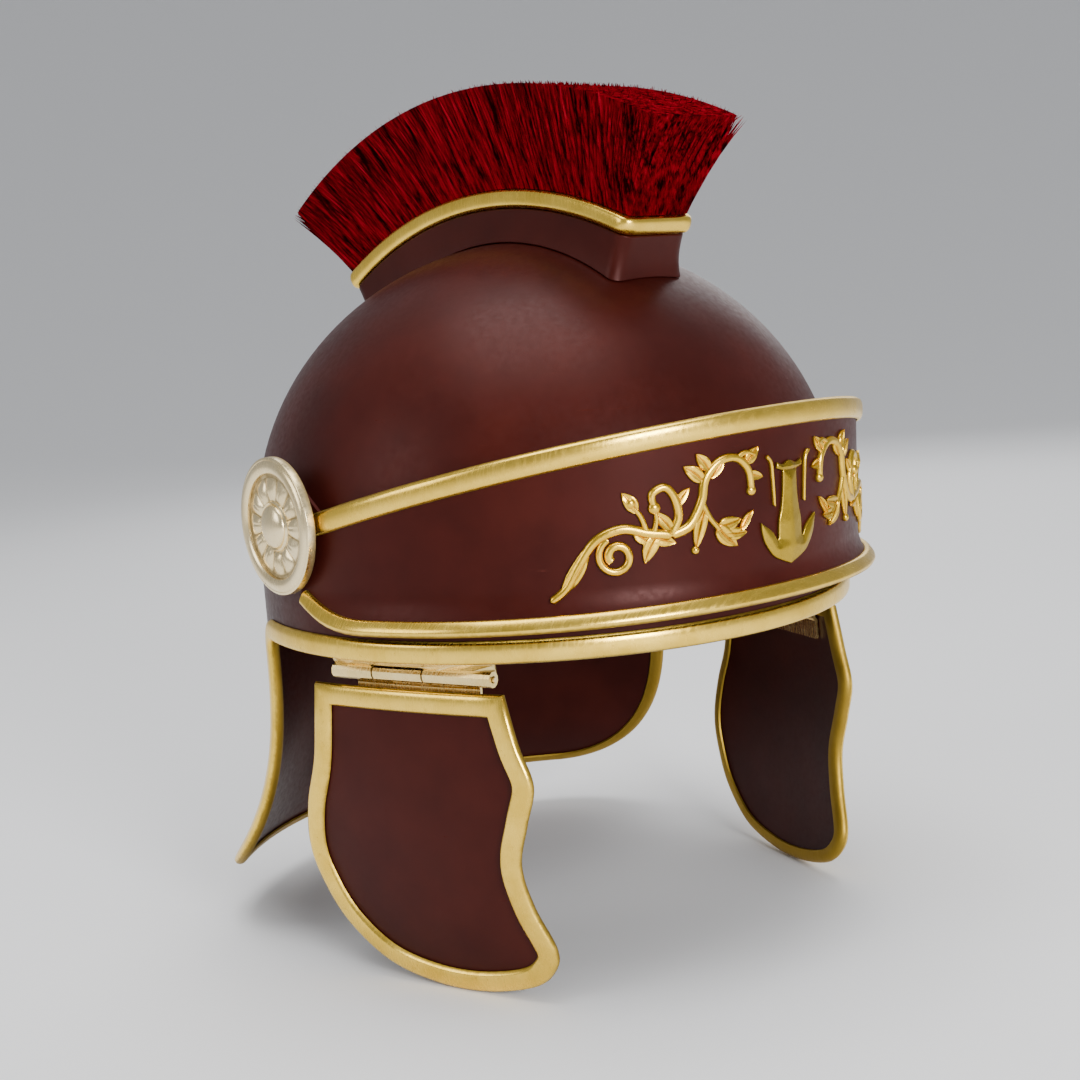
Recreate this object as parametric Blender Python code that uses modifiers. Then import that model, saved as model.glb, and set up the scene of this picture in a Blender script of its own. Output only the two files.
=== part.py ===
"""Roman helmet: bowl with neck guard, pivoting brow guard, hinged cheek pieces, crest box and plume.

The helmet faces -Y, the wearer's left is +X and +Z is up. The origin is on the bowl's axis
in the plane of its front rim. Right and left are the wearer's.
"""

import math

import bmesh
import bpy
from mathutils import Matrix, Vector

MM = 0.001

# Bowl and neck guard, one sheet
BOWL_RX = 120.5 * MM  # outside, side to side
BOWL_RY = 122.0 * MM  # outside, front to back
DOME_BASE = 39.0 * MM  # height of the dome's widest ring above the rim
DOME_RISE = 113.2 * MM  # from that ring to the crown
SHEET = 1.6 * MM
BOWL_SIDES = 44
NECK_DROP = 107.0 * MM  # sheet below the rim at the back
NECK_FLARE = 26.0 * MM  # how far its lower edge stands out
NECK_FLARE_POWER = 2.8
NECK_FRONT_DEG = 114.0  # its front edges, counted from the face
NECK_CORNER_DEG = 26.0
NECK_CORNER_RISE = 75.0 * MM
RIM_CORNER = 7.0 * MM  # where rim and neck guard meet

# Edging that wraps every sheet edge
EDGE_FIT = 0.4 * MM

# Brow guard
BROW_RX = 123.6 * MM
BROW_RY = 132.0 * MM
BROW_SHEET = 1.4 * MM
BROW_TOP_FRONT = 81.7 * MM
BROW_TOP_SIDE = 50.4 * MM
BROW_LOW = 14.0 * MM
BROW_LOW_RISE = 2.0 * MM  # extra height of the lower edge at the face
BROW_LEAN = 1.4 * MM
FLARE_TOP = 27.0 * MM
FLARE_OUT = 5.0 * MM
EAR_RADIUS = 20.0 * MM
PIVOT_Y = 12.0 * MM
PIVOT_Z = 50.0 * MM
PIVOT_PIN = 4.0 * MM
PIVOT_HOLE = 4.3 * MM

# Ear disc
DISC_RADIUS = 26.3 * MM
DISC_PETALS = 12
DISC_STAND_OFF = 1.3 * MM  # room for the brow guard to tilt behind the disc
PIVOT_REACH = 5.0 * MM  # from the disc's back, through the brow guard, to the bowl

# Crest
CREST_Y = 3.0 * MM  # centre of the arcs that box, band and plume share
CREST_Z = -22.0 * MM
BOX_TOP = 187.0 * MM  # radii from that centre
BAND_TOP = 194.4 * MM
PLUME_TOP = 236.5 * MM
CREST_FRONT_DEG = -24.3
CREST_REAR_DEG = 31.2
BOX_HALF = 17.8 * MM
BOX_FOOT = 1.9 * MM
BAND_HALF = 19.4 * MM

# Cheek pieces, in a frame turned about the vertical so that its first axis runs along the hinge
HINGE_TURN = math.radians(16.0)
HINGE_OUT = 111.6 * MM
HINGE_Z = -6.0 * MM
HINGE_REAR = -29.5 * MM
HINGE_FRONT = 42.5 * MM
KNUCKLE_SPLITS = (-10.5 * MM, 12.5 * MM)
KNUCKLE_RADIUS = 3.0 * MM
KNUCKLE_BORE = 1.45 * MM
HINGE_PIN = 1.1 * MM
LEAF = 1.3 * MM
CHEEK_OUT = 109.2 * MM
CHEEK_BULGE = 2.2 * MM
CHEEK_MID = 2.2 * MM
CHEEK_HALF = 43.0 * MM

# Relief on the brow guard
RELIEF_FIT = 0.35 * MM
RELIEF_HIGH = 1.5 * MM

COLOURS = {
    # finish: colour, metallic, roughness
    "painted": ((0.105, 0.030, 0.020, 1.0), 0.3, 0.38),
    "gilt": ((0.78, 0.60, 0.22, 1.0), 1.0, 0.28),
    "wood": ((0.095, 0.035, 0.022, 1.0), 0.0, 0.5),
    "hair": ((0.30, 0.012, 0.018, 1.0), 0.0, 0.75),
}


for old in list(bpy.data.objects):
    bpy.data.objects.remove(old, do_unlink=True)

helmet = bpy.data.collections.new("roman_helmet")
helpers = bpy.data.collections.new("cutters")
bpy.context.scene.collection.children.link(helmet)
bpy.context.scene.collection.children.link(helpers)


def material(node, finish):
    """A Principled material of the node's own."""
    colour, metallic, roughness = COLOURS[finish]
    made = bpy.data.materials.new(f"{node}_{finish}")
    made.use_nodes = True
    shader = made.node_tree.nodes["Principled BSDF"]
    shader.inputs["Base Color"].default_value = colour
    shader.inputs["Metallic"].default_value = metallic
    shader.inputs["Roughness"].default_value = roughness
    return made


def add_object(node, mesh, finish, smooth_deg=40.0):
    made = bpy.data.objects.new(node, mesh)
    helmet.objects.link(made)
    mesh.materials.clear()
    mesh.materials.append(material(node, finish))
    mesh.shade_smooth()
    mesh.set_sharp_from_angle(angle=math.radians(smooth_deg))
    return made


def mesh_of(name, bm):
    bmesh.ops.recalc_face_normals(bm, faces=bm.faces)
    mesh = bpy.data.meshes.new(name)
    bm.to_mesh(mesh)
    bm.free()
    return mesh


def finished_mesh(name, obj):
    """The object's mesh with its modifiers applied; the object itself is removed."""
    graph = bpy.context.evaluated_depsgraph_get()
    mesh = bpy.data.meshes.new_from_object(obj.evaluated_get(graph))
    mesh.name = name
    mesh.transform(obj.matrix_world)
    bpy.data.objects.remove(obj, do_unlink=True)
    return mesh


def boolean(obj, operation, other):
    modifier = obj.modifiers.new(operation.lower(), "BOOLEAN")
    modifier.operation = operation
    modifier.solver = "EXACT"
    modifier.object = other
    other.hide_render = True
    other.display_type = "WIRE"


def frame_at(surface, u, v):
    """Point and outward normal of a surface."""
    step = 0.05
    point = surface(u, v)
    along_u = (surface(u + step, v) - surface(u - step, v)).normalized()
    along_v = (surface(u, v + 2 * step * MM) - surface(u, v - 2 * step * MM)).normalized()
    normal = along_u.cross(along_v).normalized()
    if normal.dot(Vector((point.x, point.y, 0.0))) < 0:
        normal.negate()
    return point, normal


def cut_sheet(outline, u_cuts, v_cuts):
    """A flat face with this outline, cut along the given lines, as a bmesh of (u, v, 0)."""
    bm = bmesh.new()
    bm.faces.new([bm.verts.new((u, v, 0.0)) for u, v in outline])
    for cuts, normal in ((u_cuts, (1, 0, 0)), (v_cuts, (0, 1, 0))):
        for at in cuts:
            geometry = bm.verts[:] + bm.edges[:] + bm.faces[:]
            place = tuple(at * part for part in normal)
            bmesh.ops.bisect_plane(bm, geom=geometry, plane_co=place, plane_no=normal, dist=1e-7)
    return bm


def sheet(node, outline, u_cuts, v_cuts, surface, thickness, finish):
    """A sheet-metal piece: a flat outline laid on a surface, then thickened inwards."""
    bm = cut_sheet(outline, u_cuts, v_cuts)
    for vert in bm.verts:
        vert.co = surface(vert.co.x, vert.co.y)
    bmesh.ops.remove_doubles(bm, verts=bm.verts, dist=0.01 * MM)
    bmesh.ops.recalc_face_normals(bm, faces=bm.faces)
    middle = Vector((0.0, 0.0, DOME_BASE))
    outward = sum((f.normal.dot(f.calc_center_median() - middle) for f in bm.faces))
    if outward < 0:
        bmesh.ops.reverse_faces(bm, faces=bm.faces)
    mesh = bpy.data.meshes.new(node)
    bm.to_mesh(mesh)
    bm.free()
    made = add_object(node, mesh, finish)
    solid = made.modifiers.new("thickness", "SOLIDIFY")
    solid.thickness = thickness
    solid.offset = -1.0
    solid.use_even_offset = True
    return made


def edging(node, path, surface, section, finish, closed=False, flip=False):
    """A strip of constant section swept along a path of (u, v) on a surface.

    A section point is (out, high): out beyond the sheet's edge, high above its outer face.
    """
    frames = [frame_at(surface, u, v) for u, v in path]
    points = [point for point, _ in frames]
    count = len(points)
    bm = bmesh.new()
    rings = []
    for i, (point, normal) in enumerate(frames):
        before = points[i - 1] if closed or i > 0 else point
        after = points[(i + 1) % count] if closed or i < count - 1 else point
        back = (point - before).normalized() if (point - before).length else Vector()
        ahead = (after - point).normalized() if (after - point).length else Vector()
        tangent = (back + ahead).normalized()
        out = tangent.cross(normal).normalized()
        if flip:
            out.negate()
        mitre = 1.0
        if back.length and ahead.length:
            mitre = 1.0 / max(0.5, math.cos(0.5 * back.angle(ahead)))
        rings.append([bm.verts.new(point + out * (x * mitre) + normal * y) for x, y in section])
    spans = range(count if closed else count - 1)
    for i in spans:
        one, two = rings[i], rings[(i + 1) % count]
        for k in range(len(section)):
            j = (k + 1) % len(section)
            bm.faces.new((one[k], one[j], two[j], two[k]))
    if not closed:
        bm.faces.new(rings[0])
        bm.faces.new(reversed(rings[-1]))
    return add_object(node, mesh_of(node, bm), finish, 50.0)


def channel(wide, proud, inner_leg, thickness):
    """Section of a rounded edging with the slot that the sheet's edge sits in."""
    under = -thickness - EDGE_FIT
    back = under - 0.75 * MM
    lip = 2.5 * MM
    inside = lip - wide
    return [
        (inside, EDGE_FIT),
        (EDGE_FIT, EDGE_FIT),
        (EDGE_FIT, under),
        (-inner_leg, under),
        (0.3 * lip, back),
        (lip, 0.5 * under),
        (lip, 0.4 * proud),
        (0.2 * lip, proud),
        (inside + 1.2 * MM, 0.9 * proud),
    ]


def quarter(start_deg, end_deg, steps):
    """Angles of an arc in radians, both ends included."""
    return [math.radians(start_deg + (end_deg - start_deg) * i / steps) for i in range(steps + 1)]


# Bowl


def bowl_surface(azimuth, v):
    """Outer face: azimuth in degrees from the face, v the height, or arc length over the dome."""
    flare = 0.0
    if v > DOME_BASE:
        angle = min((v - DOME_BASE) / BOWL_RX, 0.5 * math.pi)
        spread, z = math.cos(angle), DOME_BASE + DOME_RISE * math.sin(angle)
    else:
        spread, z = 1.0, v
        if v < 0:
            flare = NECK_FLARE * (-v / NECK_DROP) ** NECK_FLARE_POWER
    a = math.radians(azimuth)
    return Vector(
        ((BOWL_RX * spread + flare) * math.sin(a), -(BOWL_RY * spread + flare) * math.cos(a), z)
    )


def bowl_z(x, y):
    """Height of the dome's outer face above a point in plan."""
    inside = 1.0 - (x / BOWL_RX) ** 2 - (y / BOWL_RY) ** 2
    return DOME_BASE + DOME_RISE * math.sqrt(max(inside, 0.0))


def bowl_edge():
    """Left half of the sheet's lower edge, from the face to the back, as (azimuth, height)."""
    edge_z = 2.5 * MM
    degree = math.radians(1.0) * BOWL_RX
    step = 360.0 / BOWL_SIDES
    turn = RIM_CORNER / degree
    line = [(step * i, edge_z) for i in range(int((NECK_FRONT_DEG - turn) / step) + 1)]
    for angle in quarter(90, 0, 4):
        a = NECK_FRONT_DEG - turn + turn * math.cos(angle)
        line.append((a, edge_z - RIM_CORNER + RIM_CORNER * math.sin(angle)))
    straight_end = -(NECK_DROP - NECK_CORNER_RISE)
    line.append((NECK_FRONT_DEG, 0.5 * straight_end))
    for angle in quarter(0, 90, 8):
        a = NECK_FRONT_DEG + NECK_CORNER_DEG * (1 - math.cos(angle))
        line.append((a, straight_end - NECK_CORNER_RISE * math.sin(angle)))
    first = math.ceil((NECK_FRONT_DEG + NECK_CORNER_DEG) / step + 0.3)
    line += [(step * i, -NECK_DROP) for i in range(first, BOWL_SIDES // 2 + 1)]
    return line


def mirrored(half):
    """The whole edge from the back round the right side and the face to the back again."""
    right = [(-a, v) for a, v in reversed(half)]
    return right[:-1] + half


BOWL_LEVELS = [v * MM for v in (-96, -80, -60, -36, -8, 39)]
DOME_STEPS = (12, 25, 38, 51, 64, 77)
crown = DOME_BASE + 0.5 * math.pi * BOWL_RX
levels = BOWL_LEVELS + [DOME_BASE + math.radians(a) * BOWL_RX for a in DOME_STEPS]
bowl_outline = mirrored(bowl_edge()) + [(180.0, crown), (-180.0, crown)]
meridians = [-180.0 + 360.0 / BOWL_SIDES * i for i in range(1, BOWL_SIDES)]
bowl = sheet("bowl", bowl_outline, meridians, levels, bowl_surface, SHEET, "painted")

rim_path = mirrored(bowl_edge())[:-1]
rim_section = channel(8.6 * MM, 2.4 * MM, 3.4 * MM, SHEET)
edging("rim_edging", rim_path, bowl_surface, rim_section, "gilt", closed=True)


# Brow guard


def brow_bottom(azimuth):
    """Height of the sheet's lower edge, which sweeps up to the ear discs."""
    low = BROW_LOW + BROW_LOW_RISE * math.cos(math.radians(azimuth)) ** 4
    sweep = max(0.0, (abs(azimuth) - 75.0) / 17.0)
    return low + 10.2 * MM * sweep**2


def brow_top(azimuth):
    return BROW_TOP_SIDE + (BROW_TOP_FRONT - BROW_TOP_SIDE) * math.cos(math.radians(azimuth))


def brow_surface(azimuth, z):
    a = math.radians(azimuth)
    spread = 1.0 / math.hypot(math.sin(a) / BROW_RX, math.cos(a) / BROW_RY)
    face_on = max(0.0, math.cos(a)) ** 2
    lean = BROW_LEAN * face_on * (z - PIVOT_Z) / (30.0 * MM)
    flare = FLARE_OUT * max(0.0, (FLARE_TOP - z) / (FLARE_TOP - BROW_LOW)) ** 2
    reach = spread + lean + flare
    return Vector((reach * math.sin(a), -reach * math.cos(a), z))


pivot_deg = 90.0 + math.degrees(math.asin(PIVOT_Y / BROW_RX))
brow_degree = math.radians(1.0) * BROW_RX


def ear_arc():
    """The rounded end of the left side, from its top to its bottom, as (azimuth, height)."""
    points = []
    for angle in quarter(130, -130, 12):
        a = pivot_deg + EAR_RADIUS * math.cos(angle) / brow_degree
        points.append((a, PIVOT_Z + EAR_RADIUS * math.sin(angle)))
    return points


BROW_STEP = 7.5
BROW_TOP_END = 83.6
LOW_SWEEP = [79.5, 84.0, 87.0, 89.0, 90.6]  # where the lower edge rises to the ear disc
half_steps = [BROW_STEP * i for i in range(1, 11)]
top_half = [(a, brow_top(a)) for a in half_steps + [BROW_TOP_END]]
low_half = [(a, brow_bottom(a)) for a in half_steps + LOW_SWEEP]
low_tip = (92.0, brow_bottom(92.0))
left_side = [(0.0, brow_top(0.0))] + top_half + ear_arc()
left_side += [low_tip] + low_half[::-1] + [(0.0, brow_bottom(0.0))]
brow_outline = left_side + [(-a, z) for a, z in left_side[-2:0:-1]]
brow_cuts = [BROW_STEP * i for i in range(-14, 15)]
brow_levels = [z * MM for z in (17, 20, 23.5, 27, 52)]
brow = sheet(
    "brow_guard", brow_outline, brow_cuts, brow_levels, brow_surface, BROW_SHEET, "painted"
)
for side in (-1, 1):
    bm = bmesh.new()
    bmesh.ops.create_cone(
        bm, cap_ends=True, segments=24, radius1=PIVOT_HOLE, radius2=PIVOT_HOLE, depth=30 * MM
    )
    cutter = bpy.data.objects.new(f"pivot_hole_{side}", mesh_of("pivot_hole", bm))
    helpers.objects.link(cutter)
    cutter.rotation_euler = (0.0, math.radians(90), 0.0)
    cutter.location = (side * BROW_RX, PIVOT_Y, PIVOT_Z)
    boolean(brow, "DIFFERENCE", cutter)

top_path = [(-a, z) for a, z in reversed(top_half)] + [(0.0, brow_top(0.0))] + top_half
low_path = [(-a, z) for a, z in reversed(low_half)] + [(0.0, brow_bottom(0.0))] + low_half
top_section = channel(8.4 * MM, 2.6 * MM, 2.6 * MM, BROW_SHEET)
low_section = channel(6.2 * MM, 2.2 * MM, 2.2 * MM, BROW_SHEET)
edging("brow_rim", top_path, brow_surface, top_section, "gilt", flip=True)
edging("brow_bead", low_path, brow_surface, low_section, "gilt")


# Ear discs, each turned on the brow guard's pivot


def disc_height(radius, angle):
    """Face of the disc above its back: stepped ring, ring of petals and a boss."""
    r = radius / MM
    if r > 25.3:
        return 3.4 * MM
    if r > 20.4:
        return 4.6 * MM
    if r > 19.0:
        return 3.0 * MM
    petal = abs(math.cos(0.5 * DISC_PETALS * angle))
    if r > 9.5:
        return (2.6 + 1.5 * petal * math.sin(math.pi * (r - 9.0) / 10.5)) * MM
    if r > 8.0:
        return 3.0 * MM
    return (4.4 + 2.4 * math.sqrt(max(0.0, 1 - (r / 8.6) ** 2))) * MM


def ear_disc(node, side):
    point, normal = frame_at(brow_surface, side * pivot_deg, PIVOT_Z)
    across = Vector((0, 0, 1)).cross(normal).normalized()
    up = normal.cross(across)
    place = Matrix((across, up, normal)).transposed().to_4x4()
    place.translation = point + normal * DISC_STAND_OFF
    radii = [r * MM for r in (26.3, 25.2, 20.6, 19.6, 14.5, 9.6, 8.2, 4.5)]
    spokes = 2 * DISC_PETALS
    bm = bmesh.new()
    rings = [[bm.verts.new(polar(DISC_RADIUS, k, spokes, 0.0)) for k in range(spokes)]]
    for radius in radii:
        ring = []
        for k in range(spokes):
            high = disc_height(radius, 2 * math.pi * k / spokes)
            ring.append(bm.verts.new(polar(radius, k, spokes, high)))
        rings.append(ring)
    for one, two in zip(rings, rings[1:]):
        bridge(bm, one, two)
    top = bm.verts.new((0, 0, disc_height(0.0, 0.0)))
    for k in range(spokes):
        bm.faces.new((rings[-1][k], rings[-1][(k + 1) % spokes], top))
    pin_ring = [bm.verts.new(polar(PIVOT_PIN, k, spokes, 0.0)) for k in range(spokes)]
    pin_end = [bm.verts.new(polar(PIVOT_PIN, k, spokes, -PIVOT_REACH)) for k in range(spokes)]
    bridge(bm, pin_ring, rings[0])
    bridge(bm, pin_end, pin_ring)
    bm.faces.new(reversed(pin_end))
    mesh = mesh_of(node, bm)
    mesh.transform(place)
    return add_object(node, mesh, "gilt", 35.0)


def polar(radius, k, spokes, high):
    angle = 2 * math.pi * k / spokes
    return (radius * math.cos(angle), radius * math.sin(angle), high)


def bridge(bm, one, two):
    count = len(one)
    for k in range(count):
        j = (k + 1) % count
        bm.faces.new((one[k], one[j], two[j], two[k]))


ear_disc("ear_disc_right", -1)
ear_disc("ear_disc_left", 1)


# Crest: box, band and plume share one set of arcs


def crest_point(x, radius, degrees):
    angle = math.radians(degrees)
    return Vector((x, CREST_Y + radius * math.sin(angle), CREST_Z + radius * math.cos(angle)))


def loft_block(node, rows, columns, levels, place, finish, smooth_deg=40.0):
    """A closed block whose surface points come from place(row, column, level).

    Level 0 is the underside and the last level the top; the walls between them join their borders.
    """
    bm = bmesh.new()
    grid = {}
    for k in range(levels + 1):
        for i in range(rows + 1):
            for j in range(columns + 1):
                border = i in (0, rows) or j in (0, columns)
                if border or k in (0, levels):
                    grid[i, j, k] = bm.verts.new(place(i, j, k))
    for k in (0, levels):
        for i in range(rows):
            for j in range(columns):
                bm.faces.new(
                    (grid[i, j, k], grid[i + 1, j, k], grid[i + 1, j + 1, k], grid[i, j + 1, k])
                )
    around = [(i, 0) for i in range(rows)] + [(rows, j) for j in range(columns)]
    around += [(i, columns) for i in range(rows, 0, -1)] + [(0, j) for j in range(columns, 0, -1)]
    for k in range(levels):
        for n, (i, j) in enumerate(around):
            p, q = around[(n + 1) % len(around)]
            bm.faces.new((grid[i, j, k], grid[p, q, k], grid[p, q, k + 1], grid[i, j, k + 1]))
    return add_object(node, mesh_of(node, bm), finish, smooth_deg)


def crest_angle(i, rows, spread_front, spread_rear):
    start = CREST_FRONT_DEG - spread_front
    end = CREST_REAR_DEG + spread_rear
    return start + (end - start) * i / rows


BOX_ROWS, BOX_COLUMNS, BOX_LEVELS = 12, 4, 3
BOX_FOOT_DEG = 0.9


def box_place(i, j, k):
    """The box: its foot follows the bowl and flares, its top carries the band."""
    up = k / BOX_LEVELS
    foot = (1 - up) ** 3
    half = BOX_HALF + BOX_FOOT * foot
    spread = BOX_FOOT_DEG * foot
    degrees = crest_angle(i, BOX_ROWS, spread, spread)
    top = crest_point(half * (2 * j / BOX_COLUMNS - 1), BOX_TOP - EDGE_FIT, degrees)
    outward = (top - Vector((top.x, CREST_Y, CREST_Z))).normalized()
    low = top.copy()
    for _ in range(12):
        below = bowl_z(low.x, low.y) + EDGE_FIT - low.z
        low += outward * below * outward.z
    return low.lerp(top, up)


loft_block("crest_box", BOX_ROWS, BOX_COLUMNS, BOX_LEVELS, box_place, "wood", 30.0)

BAND_COLUMNS, BAND_LEVELS = 2, 4
BAND_BULGE = (0.0, 0.75, 1.0, 0.75, 0.0)  # share of the bulge at each level
BAND_ROUNDING = 1.6 * MM
BAND_BULGE_DEG = 0.45


def band_place(i, j, k):
    """The band: a round-edged strip lying on the box."""
    half = BAND_HALF - BAND_ROUNDING * (1 - BAND_BULGE[k])
    radius = BOX_TOP + (BAND_TOP - EDGE_FIT - BOX_TOP) * k / BAND_LEVELS
    spread = BAND_BULGE_DEG * BAND_BULGE[k]
    degrees = crest_angle(i, BOX_ROWS, spread, spread)
    return crest_point(half * (2 * j / BAND_COLUMNS - 1), radius, degrees)


loft_block("crest_band", BOX_ROWS, BAND_COLUMNS, BAND_LEVELS, band_place, "gilt", 50.0)

PLUME_ROWS, PLUME_COLUMNS, PLUME_LEVELS = 26, 4, 3
PLUME_LOW_HALF = 17.0 * MM
PLUME_TOP_HALF = 26.5 * MM
PLUME_FAN_FRONT_DEG = 2.2
PLUME_FAN_REAR_DEG = 3.2
LOCK_DEEP = 1.5 * MM  # grooves between locks, on the sides and ends
LOCK_STEP = 1.1 * MM  # and on the top
CROWN_ROUNDING = 1.6 * MM
UNEVEN_CUT = 0.8 * MM


def plume_place(i, j, k):
    """The plume: locks of hair fused to their backing, fanned out in length and width."""
    up = k / PLUME_LEVELS
    half = PLUME_LOW_HALF + (PLUME_TOP_HALF - PLUME_LOW_HALF) * up**0.9
    across = 2 * j / PLUME_COLUMNS - 1
    lock_row, lock_column = i % 2, j % 2
    groove = LOCK_DEEP * (0.35 + 0.65 * up)
    x = half * across
    if j in (0, PLUME_COLUMNS):
        x -= math.copysign(groove * lock_row, across)
    fan = up**1.2
    degrees = crest_angle(i, PLUME_ROWS, PLUME_FAN_FRONT_DEG * fan, PLUME_FAN_REAR_DEG * fan)
    if i in (0, PLUME_ROWS) and lock_column:
        degrees += math.copysign(math.degrees(groove / PLUME_TOP), PLUME_ROWS - 2 * i)
    radius = BAND_TOP + (PLUME_TOP - BAND_TOP) * up
    if k == PLUME_LEVELS:
        radius -= LOCK_STEP * (lock_row + lock_column) + CROWN_ROUNDING * across**2
        radius -= UNEVEN_CUT * math.sin(12.9 * i + 4.1 * j) ** 2
    return crest_point(x, radius, degrees)


loft_block("plume", PLUME_ROWS, PLUME_COLUMNS, PLUME_LEVELS, plume_place, "hair", 25.0)


# Cheek pieces

hinge_along = Vector((math.sin(HINGE_TURN), -math.cos(HINGE_TURN), 0.0))
hinge_outward = Vector((-math.cos(HINGE_TURN), -math.sin(HINGE_TURN), 0.0))

# The outer edge of the right cheek piece as (along the hinge, height), from its top front corner
# round the face side, the tip and the back
CHEEK_EDGE = [
    (45.5, -11.6),
    (50.3, -30.0),
    (55.2, -45.0),
    (51.2, -60.0),
    (46.8, -76.0),
    (49.6, -92.0),
    (56.0, -109.0),
    (53.0, -118.5),
    (43.0, -125.6),
    (22.0, -130.0),
    (0.0, -129.5),
    (-22.0, -123.5),
    (-40.0, -109.0),
    (-50.0, -91.5),
    (-53.3, -77.0),
    (-50.8, -60.0),
    (-44.2, -40.0),
    (-41.2, -11.6),
]
CHEEK_LIP = 2.5 * MM


def cheek_point(along, out, z):
    return hinge_along * along + hinge_outward * out + Vector((0.0, 0.0, z))


def cheek_surface(along, z):
    """Outer face of the right cheek piece, bulged along the hinge and drawn in at the foot."""
    down = -z / (100.0 * MM)
    bulge = CHEEK_BULGE * (1 - ((along - CHEEK_MID) / CHEEK_HALF) ** 2)
    return cheek_point(along, CHEEK_OUT + bulge + (10.0 * down - 13.0 * down**2) * MM, z)


def cheek_edge(steps):
    """The sheet's edge, one lip's width inside a smooth curve through CHEEK_EDGE and a straight top."""
    knots = [Vector((a * MM, z * MM, 0.0)) for a, z in CHEEK_EDGE]
    knots = [knots[0] + (knots[0] - knots[1])] + knots + [knots[-1] + (knots[-1] - knots[-2])]
    line = []
    for n in range(1, len(knots) - 2):
        p0, p1, p2, p3 = knots[n - 1 : n + 3]
        for step in range(steps):
            t = step / steps
            line.append(
                0.5
                * (
                    2 * p1
                    + (p2 - p0) * t
                    + (2 * p0 - 5 * p1 + 4 * p2 - p3) * t**2
                    + (3 * p1 - p0 - 3 * p2 + p3) * t**3
                )
            )
    line += [knots[-2].lerp(knots[1], t / 5) for t in range(5)]
    return inset(line, CHEEK_LIP)


def inset(line, by):
    """A closed outline moved inwards by a distance, with mitred corners."""
    count = len(line)
    area = sum(line[i - 1].x * line[i].y - line[i].x * line[i - 1].y for i in range(count))
    inner = []
    for i, point in enumerate(line):
        back = (point - line[i - 1]).normalized()
        ahead = (line[(i + 1) % count] - point).normalized()
        tangent = (back + ahead).normalized()
        inward = Vector((-tangent.y, tangent.x, 0.0)) * math.copysign(1.0, area)
        mitre = 1.0 / max(0.5, math.cos(0.5 * back.angle(ahead)))
        inner.append((point.x + inward.x * by * mitre, point.y + inward.y * by * mitre))
    return inner


def mirror_copy(node, source, finish, smooth_deg):
    """A left-hand copy of a right-hand piece, as its own mesh."""
    mesh = source.data.copy()
    mesh.transform(Matrix.Scale(-1.0, 4, (1, 0, 0)))
    mesh.flip_normals()
    made = add_object(node, mesh, finish, smooth_deg)
    for modifier in source.modifiers:
        if modifier.type == "SOLIDIFY":
            solid = made.modifiers.new("thickness", "SOLIDIFY")
            solid.thickness = modifier.thickness
            solid.offset = modifier.offset
            solid.use_even_offset = True
    return made


edge = cheek_edge(2)
cheek_cuts = [a * MM for a in (-30, -8, 14, 34)]
cheek_levels = [z * MM for z in (-34, -58, -84, -108)]
plate = sheet("cheek_plate_right", edge, cheek_cuts, cheek_levels, cheek_surface, SHEET, "painted")
cheek_section = channel(8.6 * MM, 2.4 * MM, 3.2 * MM, SHEET)
trim = edging(
    "cheek_edging_right", edge, cheek_surface, cheek_section, "gilt", closed=True, flip=True
)
mirror_copy("cheek_plate_left", plate, "painted", 40.0)
mirror_copy("cheek_edging_left", trim, "gilt", 50.0)


def hinge_rod(bm, radius, along, segments=12):
    """A rod on the hinge's axis between two values along it."""
    middle = cheek_point(sum(along) / 2, HINGE_OUT, HINGE_Z)
    turn = Vector((0, 0, 1)).rotation_difference(hinge_along).to_matrix().to_4x4()
    bmesh.ops.create_cone(
        bm,
        cap_ends=True,
        segments=segments,
        radius1=radius,
        radius2=radius,
        depth=along[1] - along[0],
        matrix=Matrix.Translation(middle) @ turn,
    )


def helper(name, fill):
    """A hidden object holding one shape, for a Boolean."""
    bm = bmesh.new()
    fill(bm)
    made = bpy.data.objects.new(name, mesh_of(name, bm))
    helpers.objects.link(made)
    return made


def bowl_wall_out(along, inside):
    """Distance outwards to the bowl's wall, that much inside its outer face."""
    out = HINGE_OUT
    for _ in range(4):
        point = cheek_point(along, out, 0.0)
        out /= math.hypot(point.x / (BOWL_RX - inside), point.y / (BOWL_RY - inside))
    return out


def between(stations, z):
    """Value at a height, from (height, value) stations in rising order."""
    for (low, a), (high, b) in zip(stations, stations[1:]):
        if z <= high:
            return a + (b - a) * max(0.0, z - low) / (high - low)
    return stations[-1][1]


def bowl_leaf_surface(along, z):
    """Outer face of the leaf on the bowl: up from the knuckles, over the rim's edging, then flat."""
    over_edging = bowl_wall_out(along, 3.2 * MM)
    on_wall = bowl_wall_out(along, SHEET + EDGE_FIT)
    stations = [
        (HINGE_Z, LEAF_OUT),
        (-1.0 * MM, over_edging),
        (6.4 * MM, over_edging),
        (7.8 * MM, on_wall),
    ]
    return cheek_point(along, between(stations, z), z)


def cheek_leaf_surface(along, z):
    """Outer face of the leaf on the cheek piece: down over its edging, then flat on the plate."""
    plate_out = cheek_surface(along, z).dot(hinge_outward)
    stations = [
        (-19.5 * MM, plate_out - SHEET - EDGE_FIT),
        (-18.0 * MM, plate_out - 3.1 * MM),
        (-11.0 * MM, plate_out - 3.1 * MM),
        (HINGE_Z, LEAF_OUT),
    ]
    return cheek_point(along, between(stations, z), z)


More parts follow.
